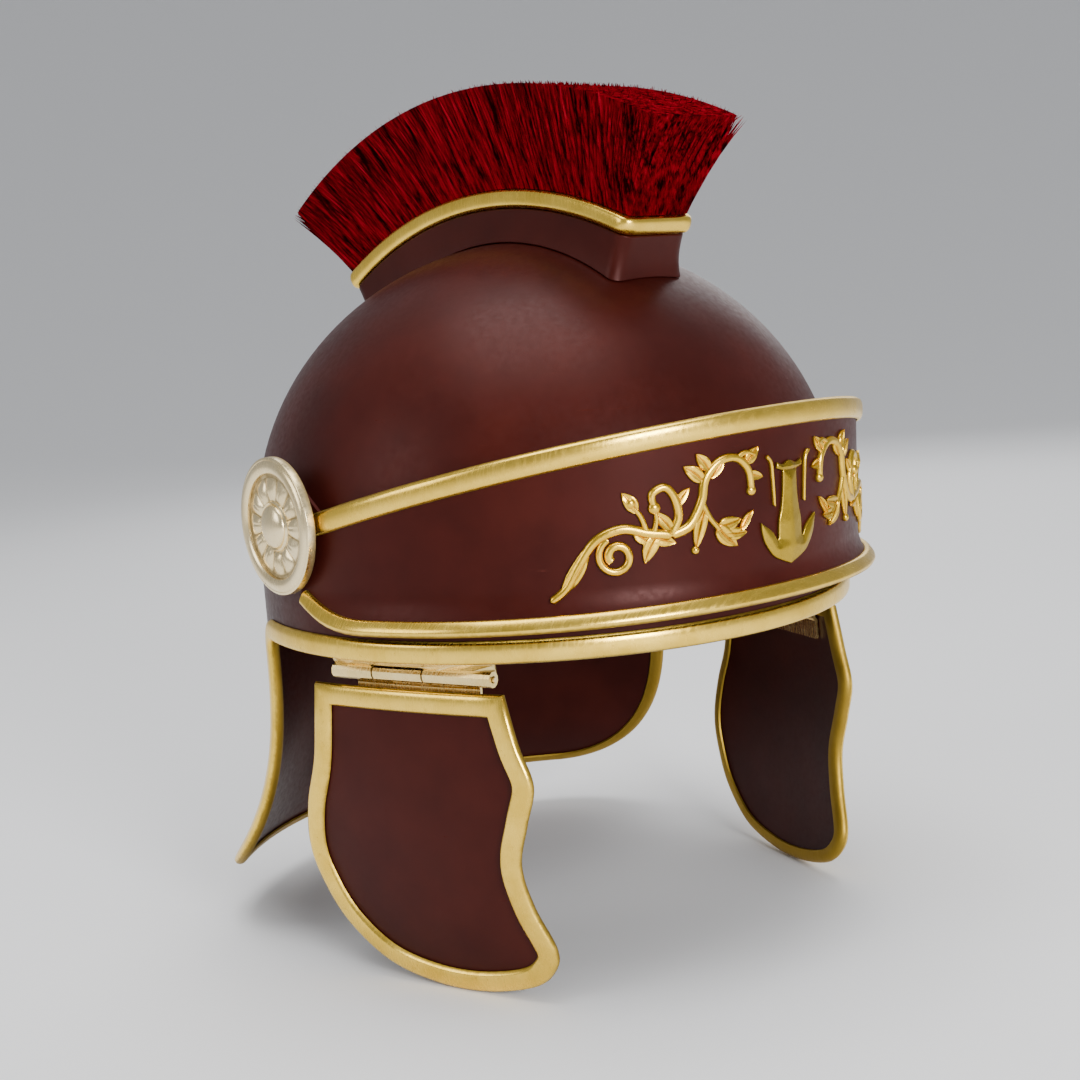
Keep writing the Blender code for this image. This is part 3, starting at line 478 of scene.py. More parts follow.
def strip_mesh(name, path, surface, section, closed=False, flip=False):
    """A strip of constant section swept along a path of (u, v), with painted shade towards the
    sheet.
    """
    frames = [face_at(surface, u, v) for u, v in path]
    points = [point for point, _ in frames]
    count = len(points)
    proud = max(y for _, y in section)
    bm, hollow = with_hollows()
    rings = []
    for i, (point, normal) in enumerate(frames):
        before = points[i - 1] if closed or i > 0 else point
        after = points[(i + 1) % count] if closed or i < count - 1 else point
        back = (point - before).normalized()
        ahead = (after - point).normalized()
        out = (back + ahead).normalized().cross(normal).normalized() * (-1 if flip else 1)
        mitre = 1.0
        if back.length and ahead.length:
            mitre = 1.0 / max(0.5, math.cos(0.5 * back.angle(ahead)))
        rings.append([bm.verts.new(point + out * (x * mitre) + normal * y) for x, y in section])
        # painted shade, deepest where the section lies lowest, against the sheet
        for vert, (_, y) in zip(rings[-1], section):
            vert[hollow] = 1.0 - min(1.0, max(0.0, y / proud))
    skin(bm, rings, closed)
    if not closed:
        bm.faces.new(rings[0])
        bm.faces.new(reversed(rings[-1]))
    return as_mesh(name, bm)


RIM_SECTION = channel(RIM_WIDE, RIM_PROUD, RIM_INNER_LEG, SHEET)
rim_path = mirrored(bowl_edge())[:-1]
rim_mesh = strip_mesh("rim_strip", rim_path, bowl_surface, RIM_SECTION, closed=True)
edging_gilt = gilt_material("edging_gilt", 0.55, 0.75)
piece("rim_edging_strip", rim_mesh, "helmet", edging_gilt, "rim_edging", 50.0)


# Brow guard: a curved iron band that stands off the forehead, lacquered like the bowl. Its foot
# flares outwards, and each end is a round ear that turns on the pin behind an ear disc.

BROW_RX = 123.6 * MM
BROW_RY = 132.0 * MM
BROW_SHEET = 1.4 * MM
BROW_TOP_FRONT = 81.7 * MM
BROW_TOP_SIDE = 50.4 * MM
BROW_LOW = 14.0 * MM
BROW_DIP = 2.0 * MM
SWEEP_RISE = 10.2 * MM
SWEEP_START_DEG = 75.0
SWEEP_LONG_DEG = 17.0
BROW_LEAN = 1.4 * MM
LEAN_SPAN = 30.0 * MM
FLARE_TOP = 27.0 * MM
FLARE_OUT = 5.0 * MM
EAR_RADIUS = 20.0 * MM
PIVOT_Y = 12.0 * MM
PIVOT_Z = 50.0 * MM
PIVOT_HOLE = 4.3 * MM


def brow_bottom(azimuth):
    """Height of the sheet's lower edge, which sweeps up to the ear discs."""
    low = BROW_LOW + BROW_DIP * math.cos(math.radians(azimuth)) ** 4
    return low + SWEEP_RISE * max(0.0, (abs(azimuth) - SWEEP_START_DEG) / SWEEP_LONG_DEG) ** 2


def brow_top(azimuth):
    return BROW_TOP_SIDE + (BROW_TOP_FRONT - BROW_TOP_SIDE) * math.cos(math.radians(azimuth))


def brow_surface(azimuth, z):
    a = math.radians(azimuth)
    spread = 1.0 / math.hypot(math.sin(a) / BROW_RX, math.cos(a) / BROW_RY)
    lean = BROW_LEAN * max(0.0, math.cos(a)) ** 2 * (z - PIVOT_Z) / LEAN_SPAN
    flare = FLARE_OUT * max(0.0, (FLARE_TOP - z) / (FLARE_TOP - BROW_LOW)) ** 2
    reach_out = spread + lean + flare
    return Vector((reach_out * math.sin(a), -reach_out * math.cos(a), z))


def with_pin_holes(mesh):
    """The brow sheet with a round hole bored through each ear for the disc's pin."""
    holder = put_on_stage("brow_sheet", mesh)
    drills = []
    for side in (-1, 1):
        bm = bmesh.new()
        size = {"radius1": PIVOT_HOLE, "radius2": PIVOT_HOLE, "depth": 16 * MM}
        bmesh.ops.create_cone(bm, cap_ends=True, segments=48, **size)
        bmesh.ops.rotate(bm, verts=bm.verts, matrix=Matrix.Rotation(0.5 * math.pi, 3, "Y"))
        bmesh.ops.translate(bm, verts=bm.verts, vec=(side * BROW_RX, PIVOT_Y, PIVOT_Z))
        drills.append(put_on_stage("drill", as_mesh("drill", bm)))
        bore = holder.modifiers.new("bore", "BOOLEAN")
        bore.operation = "DIFFERENCE"
        bore.solver = "EXACT"
        bore.object = drills[-1]
    apply_modifiers(holder)
    bored = holder.data
    for used in [holder] + drills:
        bpy.data.objects.remove(used)
    return bored


def brow_line(height, azimuths):
    return [(a, height(a)) for a in azimuths]


pivot_deg = 90.0 + math.degrees(math.asin(PIVOT_Y / BROW_RX))
brow_degree = math.radians(1.0) * BROW_RX
ear = []
for angle in arc(130, -130, 36):
    a = pivot_deg + EAR_RADIUS * math.cos(angle) / brow_degree
    ear.append((a, PIVOT_Z + EAR_RADIUS * math.sin(angle)))
azimuths = [2.0 * i for i in range(1, 45)]
top_half = brow_line(brow_top, azimuths[:41] + [83.6])
low_half = brow_line(brow_bottom, azimuths + [89.4, 90.6])
left_side = brow_line(brow_top, [0.0]) + top_half + ear
left_side += brow_line(brow_bottom, [92.0]) + low_half[::-1] + brow_line(brow_bottom, [0.0])
brow_outline = left_side + [(-a, z) for a, z in left_side[-2:0:-1]]
brow_turns = steps_between(-106, 106, TURN_STEP)
brow_levels = steps_between(BROW_LOW, 28 * MM, 1.6 * MM) + steps_between(28 * MM, 84 * MM, 6 * MM)
brow_mesh = with_pin_holes(
    sheet_mesh("brow_sheet", brow_outline, brow_turns, brow_levels, brow_surface, BROW_SHEET)
)
brow_lacquer = lacquer_material("brow_lacquer", 0.6, 0.1)
piece("brow_guard_band", brow_mesh, "brow", brow_lacquer, "brow_guard")


# Brow rim and bead: gilt brass strips like the rim's, soldered over the brow guard's top edge
# and its flared foot. The rim runs in behind the ear discs, and the bead stops below them.

BROW_RIM_SECTION = channel(8.4 * MM, 2.6 * MM, 2.6 * MM, BROW_SHEET)
BEAD_SECTION = channel(6.2 * MM, 2.2 * MM, 2.2 * MM, BROW_SHEET)

top_path = mirrored(brow_line(brow_top, [0.0]) + top_half[:-1] + brow_line(brow_top, [84.0, 85.6]))
low_path = mirrored(brow_line(brow_bottom, [0.0]) + low_half)
top_strip = strip_mesh("brow_rim", top_path, brow_surface, BROW_RIM_SECTION, flip=True)
low_strip = strip_mesh("brow_bead", low_path, brow_surface, BEAD_SECTION)
brow_rim_gilt = gilt_material("brow_rim_gilt", 0.4, 0.6)
brow_bead_gilt = gilt_material("brow_bead_gilt", 0.55, 0.8)
piece("brow_rim_strip", top_strip, "brow", brow_rim_gilt, "brow_rim", 50.0)
piece("brow_bead_strip", low_strip, "brow", brow_bead_gilt, "brow_bead", 50.0)


# Anchor: cast brass relief at the middle of the brow guard, a flared head, a shaft and two
# curved arms with flukes. It is an older, greener gold than the rims, with soft round shoulders.

RELIEF_GAP = 0.35 * MM
RELIEF_FOOT = -0.3 * MM
SHELF = 0.45
SHELF_STEP = 0.6
RELIEF_OLD = (0.34, 0.215, 0.014, 1)


def on_brow(x, z, high):
    """A place on the brow guard, x and z in millimetres along it and height above its face."""
    point, normal = face_at(brow_surface, x * MM / (math.radians(1.0) * BROW_RY), z * MM)
    return point + normal * (RELIEF_GAP + high)


def inset(line, by):
    """A closed outline moved inwards by a distance, with mitred corners."""
    count = len(line)
    area = sum(line[i - 1][0] * line[i][1] - line[i][0] * line[i - 1][1] for i in range(count))
    points = [Vector((x, z)) for x, z in line]
    inner = []
    for i, point in enumerate(points):
        back = (point - points[i - 1]).normalized()
        ahead = (points[(i + 1) % count] - point).normalized()
        tangent = (back + ahead).normalized()
        inward = Vector((-tangent.y, tangent.x)) * math.copysign(1.0, area)
        mitre = 1.0 / max(0.5, math.cos(0.5 * back.angle(ahead)))
        inner.append(tuple(point + inward * by * mitre))
    return inner


def from_edge(place, line):
    """Distance of a flat point from a closed outline."""
    nearest = 1e9
    for i, end in enumerate(line):
        foot, share = intersect_point_line(place, line[i - 1], end)
        if share < 0.0 or share > 1.0:
            foot = line[i - 1] if share < 0.0 else end
        nearest = min(nearest, (place - foot).length)
    return nearest


def cast_plate(outline, high, shoulder, chisel):
    """A cast plate on the brow guard: upright sides, round shoulders, then slopes up to ridges."""
    bm, hollow = with_hollows()
    rings = []
    # how far inwards and how high each ring lies, and how much painted shade it takes
    steps = [(0.0, RELIEF_FOOT / high, 1.0), (0.0, 0.22, 0.8), (0.3, 0.36, 0.4), (1.0, SHELF, 0.1)]
    for inwards, level, shade_and_dirt in steps:
        rings.append([bm.verts.new((x, z, level)) for x, z in inset(outline, shoulder * inwards)])
        for vert in rings[-1]:
            vert[hollow] = shade_and_dirt
    skin(bm, rings)
    cut = [bm.faces.new(rings[-1])]
    flat_shelf = [vert.co.xy.to_3d() for vert in rings[-1]]
    for axis, normal in enumerate((Vector((1, 0, 0)), Vector((0, 1, 0)))):
        low, top = min(co[axis] for co in flat_shelf), max(co[axis] for co in flat_shelf)
        for at in steps_between(low, top, SHELF_STEP):
            parts = dict.fromkeys(own for face in cut for own in (*face.edges, *face.verts))
            plane = {"plane_co": at * normal, "plane_no": normal, "dist": 1e-5}
            made = bmesh.ops.bisect_plane(bm, geom=cut + list(parts), **plane)
            cut = [part for part in made["geom"] if isinstance(part, bmesh.types.BMFace)]
    for vert in {vert for part in cut for vert in part.verts}:
        slope = min(1.0, from_edge(vert.co.xy.to_3d(), flat_shelf) / chisel)
        vert.co.z = SHELF + (1 - SHELF) * slope
    bm.faces.new(reversed(rings[0]))
    for vert in bm.verts:
        vert.co = on_brow(vert.co.x, vert.co.y, vert.co.z * high)
    return bm


def spline(a, b, c, d, t):
    """A smooth step from b to c, with a before and d after them."""
    bend, twist = 2 * a - 5 * b + 4 * c - d, 3 * b - a - 3 * c + d
    return 0.5 * (2 * b + (c - a) * t + bend * t * t + twist * t**3)


def smooth_line(knots, steps):
    """A smooth curve through points given as tuples of numbers."""
    last = len(knots) - 1
    line = []
    for n in range(last):
        near = [knots[min(max(k, 0), last)] for k in range(n - 1, n + 3)]
        for step in range(steps):
            line.append(tuple(spline(*values, step / steps) for values in zip(*near)))
    return line + [tuple(knots[-1])]


def joined(name, shapes):
    """One mesh from several closed bmeshes, each turned right side out."""
    whole = bmesh.new()
    for bm in shapes:
        bmesh.ops.recalc_face_normals(bm, faces=bm.faces)
        if bm.calc_volume(signed=True) < 0:
            bmesh.ops.reverse_faces(bm, faces=bm.faces)
        part = bpy.data.meshes.new("part")
        bm.to_mesh(part)
        bm.free()
        whole.from_mesh(part)
        bpy.data.meshes.remove(part)
    return as_mesh(name, whole, tidy=False)


ANCHOR_SHAFT = [(3.7, 60.2), (4.0, 52.0), (5.0, 45.6), (6.1, 41.6), (6.4, 35.6)]
ANCHOR_ARM = [(7.0, 34.8), (8.8, 37.6), (11.4, 39.8), (15.0, 42.2)]
ANCHOR_BACK = [(14.6, 39.0), (13.2, 34.6), (9.2, 29.4), (4.4, 26.9), (0.0, 25.2)]
ANCHOR_HIGH = 1.8 * MM
half_anchor = []
for side_line in (ANCHOR_SHAFT, ANCHOR_ARM, ANCHOR_BACK):
    half_anchor += smooth_line(side_line, 5)
anchor_outline = half_anchor + [(-x, z) for x, z in reversed(half_anchor[:-1])]
stock = smooth_line([(6.9, 61.0), (3.6, 60.0), (0.0, 59.7), (-3.6, 60.0), (-6.9, 61.0)], 4)
stock += smooth_line([(-6.6, 63.2), (-3.4, 62.2), (0.0, 63.4), (3.4, 62.2), (6.6, 63.2)], 4)
anchor_casting = cast_plate(anchor_outline, ANCHOR_HIGH, 0.6, 5.0)
stock_casting = cast_plate(stock, ANCHOR_HIGH, 0.4, 1.2)
anchor_mesh = joined("anchor_casting", [anchor_casting, stock_casting])
anchor_gilt = gilt_material("anchor_gilt", 0.7, 0.8, (0.50, 0.33, 0.035, 1), RELIEF_OLD, 0.2)
piece("anchor_relief", anchor_mesh, "brow", anchor_gilt, "anchor", 50.0)


# Vine scrolls: cast brass stems, curls, buds and pointed leaves, one spray on each side of the
# anchor, soldered to the brow guard. Stems are round, leaves are cupped with a raised midrib.

STEM_STEPS = 6
LEAF_STEPS = 10
LEAF_SECTION = (-1.0, -1.0, -0.84, -0.5, -0.14, 0.0, 0.14, 0.5, 0.84, 1.0, 1.0)


def spiral(centre, start_radius, end_radius, start_deg, end_deg, steps):
    line = []
    for i, a in enumerate(arc(start_deg, end_deg, steps)):
        radius = start_radius + (end_radius - start_radius) * i / steps
        line.append((centre[0] + radius * math.cos(a), centre[1] + radius * math.sin(a)))
    return line


VINE_STEMS = [
    # knots, widths, height
    ([(97, 22.5), (91, 27), (86, 35), (79.5, 43), (70, 46.2), (61, 44), (52, 42.5)], (3, 4), 1.5),
    (
        [(52, 42.5), (45, 45), (40, 53), (38, 61), (32, 66.5), (25, 66.8), (20, 62), (19, 55)],
        (4.0, 2.7),
        1.45,
    ),
    (spiral((72.5, 36.8), 6.9, 2.4, 66, -400, 20), (2.7, 3.6), 1.5),
    ([(52, 42.5), (49, 49), (50.5, 56), (54, 59.5), (58.5, 57.5), (58, 53)], (3.6, 2.8), 1.45),
    ([(61, 44), (63, 50), (66.5, 54.5)], (2.4, 1.9), 1.2),
    ([(40, 53), (37, 47), (33, 42)], (2.6, 2.0), 1.2),
    ([(25, 66.8), (21, 68.5), (17, 67)], (2.1, 1.5), 1.2),
    ([(11.5, 66), (9.4, 63.4), (8.8, 58), (8.4, 52), (8.2, 47.5)], (1.6, 1.0), 1.0),
    ([(58.5, 44), (57.4, 50), (59.8, 56.5)], (2.2, 1.5), 1.2),
]
VINE_LEAVES = [
    # foot, tip, width, height, bend
    ((93, 25), (81.5, 43), 5.4, 1.6, 0.9),
    ((64.5, 51.5), (69.5, 59), 5.0, 1.5, 0.5),
    ((57, 43.5), (62.5, 33.5), 5.6, 1.5, 0.6),
    ((60, 43.5), (50.5, 39.5), 5.0, 1.45, 0.4),
    ((66, 45.5), (59, 40), 4.6, 1.5, 0.4),
    ((51.5, 43.5), (58.5, 51.5), 4.6, 1.6, 0.4),
    ((50, 52), (44.5, 58.5), 3.8, 1.4, -0.4),
    ((39, 60), (46.5, 66), 5.2, 1.5, 0.5),
    ((36.5, 63.5), (41.5, 70), 4.6, 1.45, 0.4),
    ((31, 66.5), (36, 60.5), 4.2, 1.4, 0.3),
    ((34.5, 44), (26, 35.5), 6.2, 1.6, 0.6),
    ((34, 43.5), (24, 45), 5.2, 1.4, 0.4),
    ((31, 40.5), (21.5, 40), 4.6, 1.4, 0.3),
    ((38.5, 51), (43, 36), 5.0, 1.55, 0.5),
    ((24.5, 40.5), (18.5, 47.5), 3.2, 1.3, -0.3),
    ((22, 64.5), (15.5, 70), 4.6, 1.4, 0.3),
    ((20, 61), (13.6, 59), 3.6, 1.3, 0.3),
]
VINE_BUDS = [
    # centre, radius, height
    ((66.5, 55.0), 2.1, 1.7),
    ((58, 52.6), 2.4, 1.8),
    ((43.2, 36.0), 1.6, 1.5),
    ((19, 54.6), 2.0, 1.6),
]


def stem(knots, widths, high):
    """A round stem along a line of (x, z), its width changing from end to end."""
    line = smooth_line(knots, STEM_STEPS)
    bm, hollow = with_hollows()
    rings = []
    for i, (x, z) in enumerate(line):
        a, b = line[max(i - 1, 0)], line[min(i + 1, len(line) - 1)]
        long = math.hypot(b[0] - a[0], b[1] - a[1])
        side = (-(b[1] - a[1]) / long, (b[0] - a[0]) / long)
        share = i / (len(line) - 1)
        half = 0.5 * (widths[0] + (widths[1] - widths[0]) * share)
        if i in (0, len(line) - 1):
            half *= 0.35
        ring = []
        for angle in arc(0, 180, 6):
            across, up = half * math.cos(angle), math.sin(angle)
            rise = high * up if up > 0.1 else RELIEF_FOOT
            ring.append(bm.verts.new(on_brow(x + side[0] * across, z + side[1] * across, rise)))
            # painted shade, deepest where the stem meets the brow guard
            ring[-1][hollow] = 1.0 - up
        rings.append(ring)
    skin(bm, rings)
    bm.faces.new(rings[0])
    bm.faces.new(rings[-1])
    return bm


def leaf(foot, tip, wide, high, bend):
    """A pointed leaf: cupped sides, a midrib, and its tip drawn over to one side."""
    dx, dz = tip[0] - foot[0], tip[1] - foot[1]
    side = (-dz, dx)
    long = math.hypot(dx, dz)
    bm, hollow = with_hollows()
    rows = []
    for i in range(LEAF_STEPS + 1):
        t = i / LEAF_STEPS
        half = 0.5 * wide * (math.sin(math.pi * t**0.8) ** 0.75) * (t < 1) / long
        sway = bend * math.sin(math.pi * t) / long
        row = []
        for s in LEAF_SECTION:
            x = foot[0] + dx * t + side[0] * (half * s + sway)
            z = foot[1] + dz * t + side[1] * (half * s + sway)
            cup = 0.5 + 0.55 * (abs(s) - 0.25) ** 2 + (0.5 if s == 0 else 0.0)
            if abs(s) == 1.0:
                cup = 0.45
            swell = 0.55 + 0.45 * math.sin(math.pi * min(1.0, t + 0.1))
            at_foot = len(row) in (0, len(LEAF_SECTION) - 1)
            row.append(bm.verts.new(on_brow(x, z, RELIEF_FOOT if at_foot else high * cup * swell)))
            # painted shade along the leaf's edges and in the grooves beside its midrib
            row[-1][hollow] = 1.0 if at_foot else (0.7 if 0.1 < abs(s) < 0.3 else 0.15)
        rows.append(row)
    skin(bm, rows)
    bmesh.ops.remove_doubles(bm, verts=bm.verts, dist=0.01 * MM)
    return bm


def bud(centre, radius, high):
    """A round bud."""
    bm, hollow = with_hollows()
    rings = []
    for angle in arc(0, 78, 4):
        spread = radius * math.cos(angle)
        rise = high * math.sin(angle) if angle > 0 else RELIEF_FOOT
        ring = []
        for a in arc(0, 330, 11):
            x, z = centre[0] + spread * math.cos(a), centre[1] + spread * math.sin(a)
            ring.append(bm.verts.new(on_brow(x, z, rise)))
            # painted shade, deepest at the bud's foot
            ring[-1][hollow] = 1.0 - math.sin(angle)
        rings.append(ring)
    skin(bm, rings)
    bm.faces.new(rings[-1])
    bm.faces.new(reversed(rings[0]))
    return bm


def spray(side):
    """The vine scroll of one side; +1 is the left."""
    shapes = []
    for knots, widths, high in VINE_STEMS:
        shapes.append(stem([(side * x, z) for x, z in knots], widths, high * MM))
    for foot, tip, wide, high, bend in VINE_LEAVES:
        ends = (side * foot[0], foot[1]), (side * tip[0], tip[1])
        shapes.append(leaf(*ends, wide, high * MM, side * bend))
    for centre, radius, high in VINE_BUDS:
        shapes.append(bud((side * centre[0], centre[1]), radius, high * MM))
    return shapes


vine_gilt = gilt_material("vine_gilt", 0.3, 0.85, (0.97, 0.60, 0.05, 1), RELIEF_OLD, 0.12)
for word, side in (("right", -1), ("left", 1)):
    vine = joined(f"vine_{word}", spray(side))
    piece(f"vine_scroll_{word}", vine, "brow", vine_gilt, f"scroll_{word}", 60.0)


# Ear discs: turned and chased gilt brass rosettes. A stepped rim runs round a ring of petals
# and a domed boss, and a pin through the brow guard's ear holds each disc to the bowl.

DISC_RADIUS = 26.3 * MM
DISC_PETALS = 12
DISC_STAND_OFF = 1.3 * MM
PIVOT_PIN = 4.0 * MM
PIVOT_REACH = 5.0 * MM
# radii in millimetres where the rolled rim, its foot, the groove, the petals and the boss end
RIM_RADIUS, ROLL_RADIUS, GROOVE_RADIUS, PETAL_RADIUS, BOSS_RADIUS = 25.2, 20.2, 18.9, 9.8, 8.4


def disc_height(r, angle):
    """Height of the disc's face in millimetres at a radius in millimetres."""
    if r > RIM_RADIUS:
        return 3.2 + 0.5 * math.sqrt(max(0.0, 1 - ((r - RIM_RADIUS) / 1.1) ** 2))
    if r > ROLL_RADIUS:
        return 3.4 + 1.2 * math.sin(math.pi * (r - ROLL_RADIUS) / (RIM_RADIUS - ROLL_RADIUS)) ** 0.5
    if r > GROOVE_RADIUS:
        return 2.7
    if r > PETAL_RADIUS:
        petal = abs(math.cos(0.5 * DISC_PETALS * angle))
        share = (r - PETAL_RADIUS) / (GROOVE_RADIUS - PETAL_RADIUS)
        along = math.sin(math.pi * share**0.85)
        return 2.6 + 1.6 * (petal**0.7) * max(0.0, along) ** 0.8 - 0.3 * (petal > 0.985) * along
    if r > BOSS_RADIUS:
        return 2.9 + 0.8 * math.sin(math.pi * (r - BOSS_RADIUS) / (PETAL_RADIUS - BOSS_RADIUS))
    return 3.2 + 3.4 * math.sqrt(max(0.0, 1 - (r / BOSS_RADIUS) ** 2))


def point_off(bm, ring, tip):
    """Faces from a ring of points to one tip."""
    for k in range(len(ring)):
        bm.faces.new((ring[k], ring[(k + 1) % len(ring)], tip))


def disc_mesh(name, side):
    point, normal = face_at(brow_surface, side * pivot_deg, PIVOT_Z)
    across = Vector((0, 0, 1)).cross(normal).normalized()
    up = normal.cross(across)
    seat = Matrix((across, up, normal)).transposed().to_4x4()
    seat.translation = point + normal * DISC_STAND_OFF
    radii = [DISC_RADIUS / MM, 26.28, 26.1, 25.8, 25.3, 25.15, 24.6, 24.0, 23.2, 22.2, 21.3, 20.7]
    radii += [20.3, 20.15, 19.5, 18.95] + [18.8 - 0.75 * i for i in range(13)]
    radii += [9.6, 9.1, 8.6, 8.4, 8.3, 8.0, 7.4, 6.5, 5.2, 3.6, 1.8]
    spokes = 12 * DISC_PETALS
    bm, hollow = with_hollows()

    def ring(radius, heights):
        made = []
        for a in arc(0, 360 - 360 / spokes, spokes - 1):
            high = heights(a)
            place = Vector((radius * math.cos(a), radius * math.sin(a), high)) * MM
            made.append(bm.verts.new(place))
            # painted shade, deepest in the disc's lowest places
            made[-1][hollow] = min(1.0, max(0.0, 1.0 - (high - 2.5) / 0.9))
        return made

    rings = [ring(PIVOT_PIN / MM, lambda a: -PIVOT_REACH / MM), ring(PIVOT_PIN / MM, lambda a: 0.0)]
    rings += [ring(DISC_RADIUS / MM - 0.3, lambda a: 0.0), ring(DISC_RADIUS / MM, lambda a: 0.4)]
    for radius in radii:
        rings.append(ring(radius, lambda a: disc_height(radius, a)))
    skin(bm, rings)
    bm.faces.new(rings[0])
    point_off(bm, rings[-1], bm.verts.new((0, 0, disc_height(0.0, 0.0) * MM)))
    mesh = as_mesh(name, bm)
    mesh.transform(seat)
    return mesh


disc_gilt = gilt_material("disc_gilt", 0.2, 0.7, (1.0, 0.82, 0.48, 1))
for word, side in (("right", -1), ("left", 1)):
    disc = disc_mesh(f"rosette_{word}", side)
    piece(f"ear_rosette_{word}", disc, "helmet", disc_gilt, f"ear_disc_{word}", 35.0)


# Crest box: a wooden box hollowed to sit on the bowl, lacquered to match it. Its foot spreads
# in a small cove where it meets the bowl, and the hair is set in its top.

CREST_Y = 3.0 * MM
CREST_Z = -22.0 * MM
BOX_TOP = 187.0 * MM
BAND_TOP = 194.4 * MM
PLUME_TOP = 236.5 * MM
CREST_FRONT_DEG = -24.3
CREST_REAR_DEG = 31.2
BOX_HALF = 17.8 * MM
BOX_FOOT = 1.9 * MM
BOX_FOOT_DEG = 0.9
BOX_GAP = 0.4 * MM
BAND_HALF = 19.4 * MM
CREST_CELLS = (144, 28, 10)


def crest_point(x, radius, degrees):
    angle = math.radians(degrees)
    return Vector((x, CREST_Y + radius * math.sin(angle), CREST_Z + radius * math.cos(angle)))


def bowl_z(x, y):
    """Height of the dome's outer face above a point in plan."""
    spread = (x / BOWL_RX) ** 2 + (y / BOWL_RY) ** 2
    return DOME_BASE + DOME_RISE * math.sqrt(max(1.0 - spread, 0.0))


def block_mesh(name, rows, columns, levels, place_at):
    """A closed block from place_at(row, column, level), each running from 0 to 1."""
    bm = bmesh.new()
    grid = {}
    for i in range(rows + 1):
        for j in range(columns + 1):
            for k in range(levels + 1):
                if i in (0, rows) or j in (0, columns) or k in (0, levels):
                    grid[i, j, k] = bm.verts.new(place_at(i / rows, j / columns, k / levels))
    for k in (0, levels):
        for i in range(rows):
            for j in range(columns):
                corners = (i, j), (i + 1, j), (i + 1, j + 1), (i, j + 1)
                bm.faces.new([grid[p, q, k] for p, q in corners])
    around = [(i, 0) for i in range(rows)] + [(rows, j) for j in range(columns)]
    around += [(i, columns) for i in range(rows, 0, -1)] + [(0, j) for j in range(columns, 0, -1)]
    skin(bm, [[grid[i, j, k] for i, j in around] for k in range(levels + 1)])
    return as_mesh(name, bm)


CORNER = 5.0 * MM
CREST_LONG = BOX_TOP * math.radians(CREST_REAR_DEG - CREST_FRONT_DEG)
CORNER_SHARES = (CORNER / CREST_LONG, CORNER / (2 * BOX_HALF))


def with_round_corners(row, column):
    """Turns the four corners of the unit square of rows and columns into quarter circles."""
    centre = [min(max(at, share), 1 - share) for at, share in zip((row, column), CORNER_SHARES)]
    out = [(at - mid) / share for at, mid, share in zip((row, column), centre, CORNER_SHARES)]
    reach = math.hypot(*out)
    if reach < 1e-9:
        return row, column
    pull = max(abs(out[0]), abs(out[1])) / reach
    return tuple(mid + step * share * pull for mid, step, share in zip(centre, out, CORNER_SHARES))


def box_place(row, column, level):
    row, column = with_round_corners(row, column)
    foot = (1 - level) ** 3
    x = (BOX_HALF + BOX_FOOT * foot) * (2 * column - 1)
    start, end = CREST_FRONT_DEG - BOX_FOOT_DEG * foot, CREST_REAR_DEG + BOX_FOOT_DEG * foot
    top = crest_point(x, BOX_TOP - EDGE_FIT, start + (end - start) * row)
    outward = (top - Vector((top.x, CREST_Y, CREST_Z))).normalized()
    low = top.copy()
    for _ in range(12):
        low += outward * (bowl_z(low.x, low.y) + BOX_GAP - low.z) * outward.z
    return low.lerp(top, level)


box_mesh = block_mesh("crest_box", *CREST_CELLS, box_place)
box_lacquer = lacquer_material("box_lacquer", 0.35, 0.05)
crest_box = piece("crest_box_block", box_mesh, "helmet", box_lacquer, "crest_box", 50.0)
soft_edge = crest_box.modifiers.new("soft_edge", "BEVEL")
soft_edge.width = 0.5 * MM
soft_edge.segments = 2
soft_edge.limit_method = "ANGLE"
soft_edge.angle_limit = math.radians(50)


# Crest band: a round-edged gilt strip bent over the box's top, framing the roots of the hair.
# It is pinned to the box, and its edges stand a little proud of the box's sides and ends.

BAND_EDGE = 1.6 * MM
BAND_EDGE_DEG = 0.45


def band_place(row, column, level):
    row, column = with_round_corners(row, column)
    bulge = (1 - abs(2 * level - 1) ** 2.4) ** 0.5
    half = BAND_HALF - BAND_EDGE * (1 - bulge)
    start, end = CREST_FRONT_DEG - BAND_EDGE_DEG * bulge, CREST_REAR_DEG + BAND_EDGE_DEG * bulge
    radius = BOX_TOP + (BAND_TOP - EDGE_FIT - BOX_TOP) * level
    return crest_point(half * (2 * column - 1), radius, start + (end - start) * row)


band_mesh = block_mesh("crest_band", *CREST_CELLS, band_place)
band_gilt = gilt_material("band_gilt", 0.4, 0.5)
piece("crest_band_strip", band_mesh, "helmet", band_gilt, "crest_band", 50.0)


# Plume: dyed horsehair, laid in locks side by side, glued at the root and cut to an even arch.
# It is deep red, with painted near-black shade between the locks and a painted highlight on
# their ridges, and it fans out to both ends.

HAIR_RED = (0.165, 0.0016, 0.0075, 1)
HAIR_PAINTED_SHADE = (0.010, 0.0002, 0.0006, 1)
HAIR_PAINTED_HIGHLIGHT = (0.28, 0.005, 0.015, 1)
HAIR_LEAN = 0.05
PLUME_LOW_HALF = 17.0 * MM
PLUME_TOP_HALF = 26.0 * MM
FAN_FRONT_DEG = 2.2
FAN_REAR_DEG = 3.2
CORE_CELLS = (120, 28, 8)
LOCK_LEVELS = 5
LOCKS_ALONG = 150
END_LOCKS = 44
TOP_ROWS = 110
TOP_COLUMNS = 22

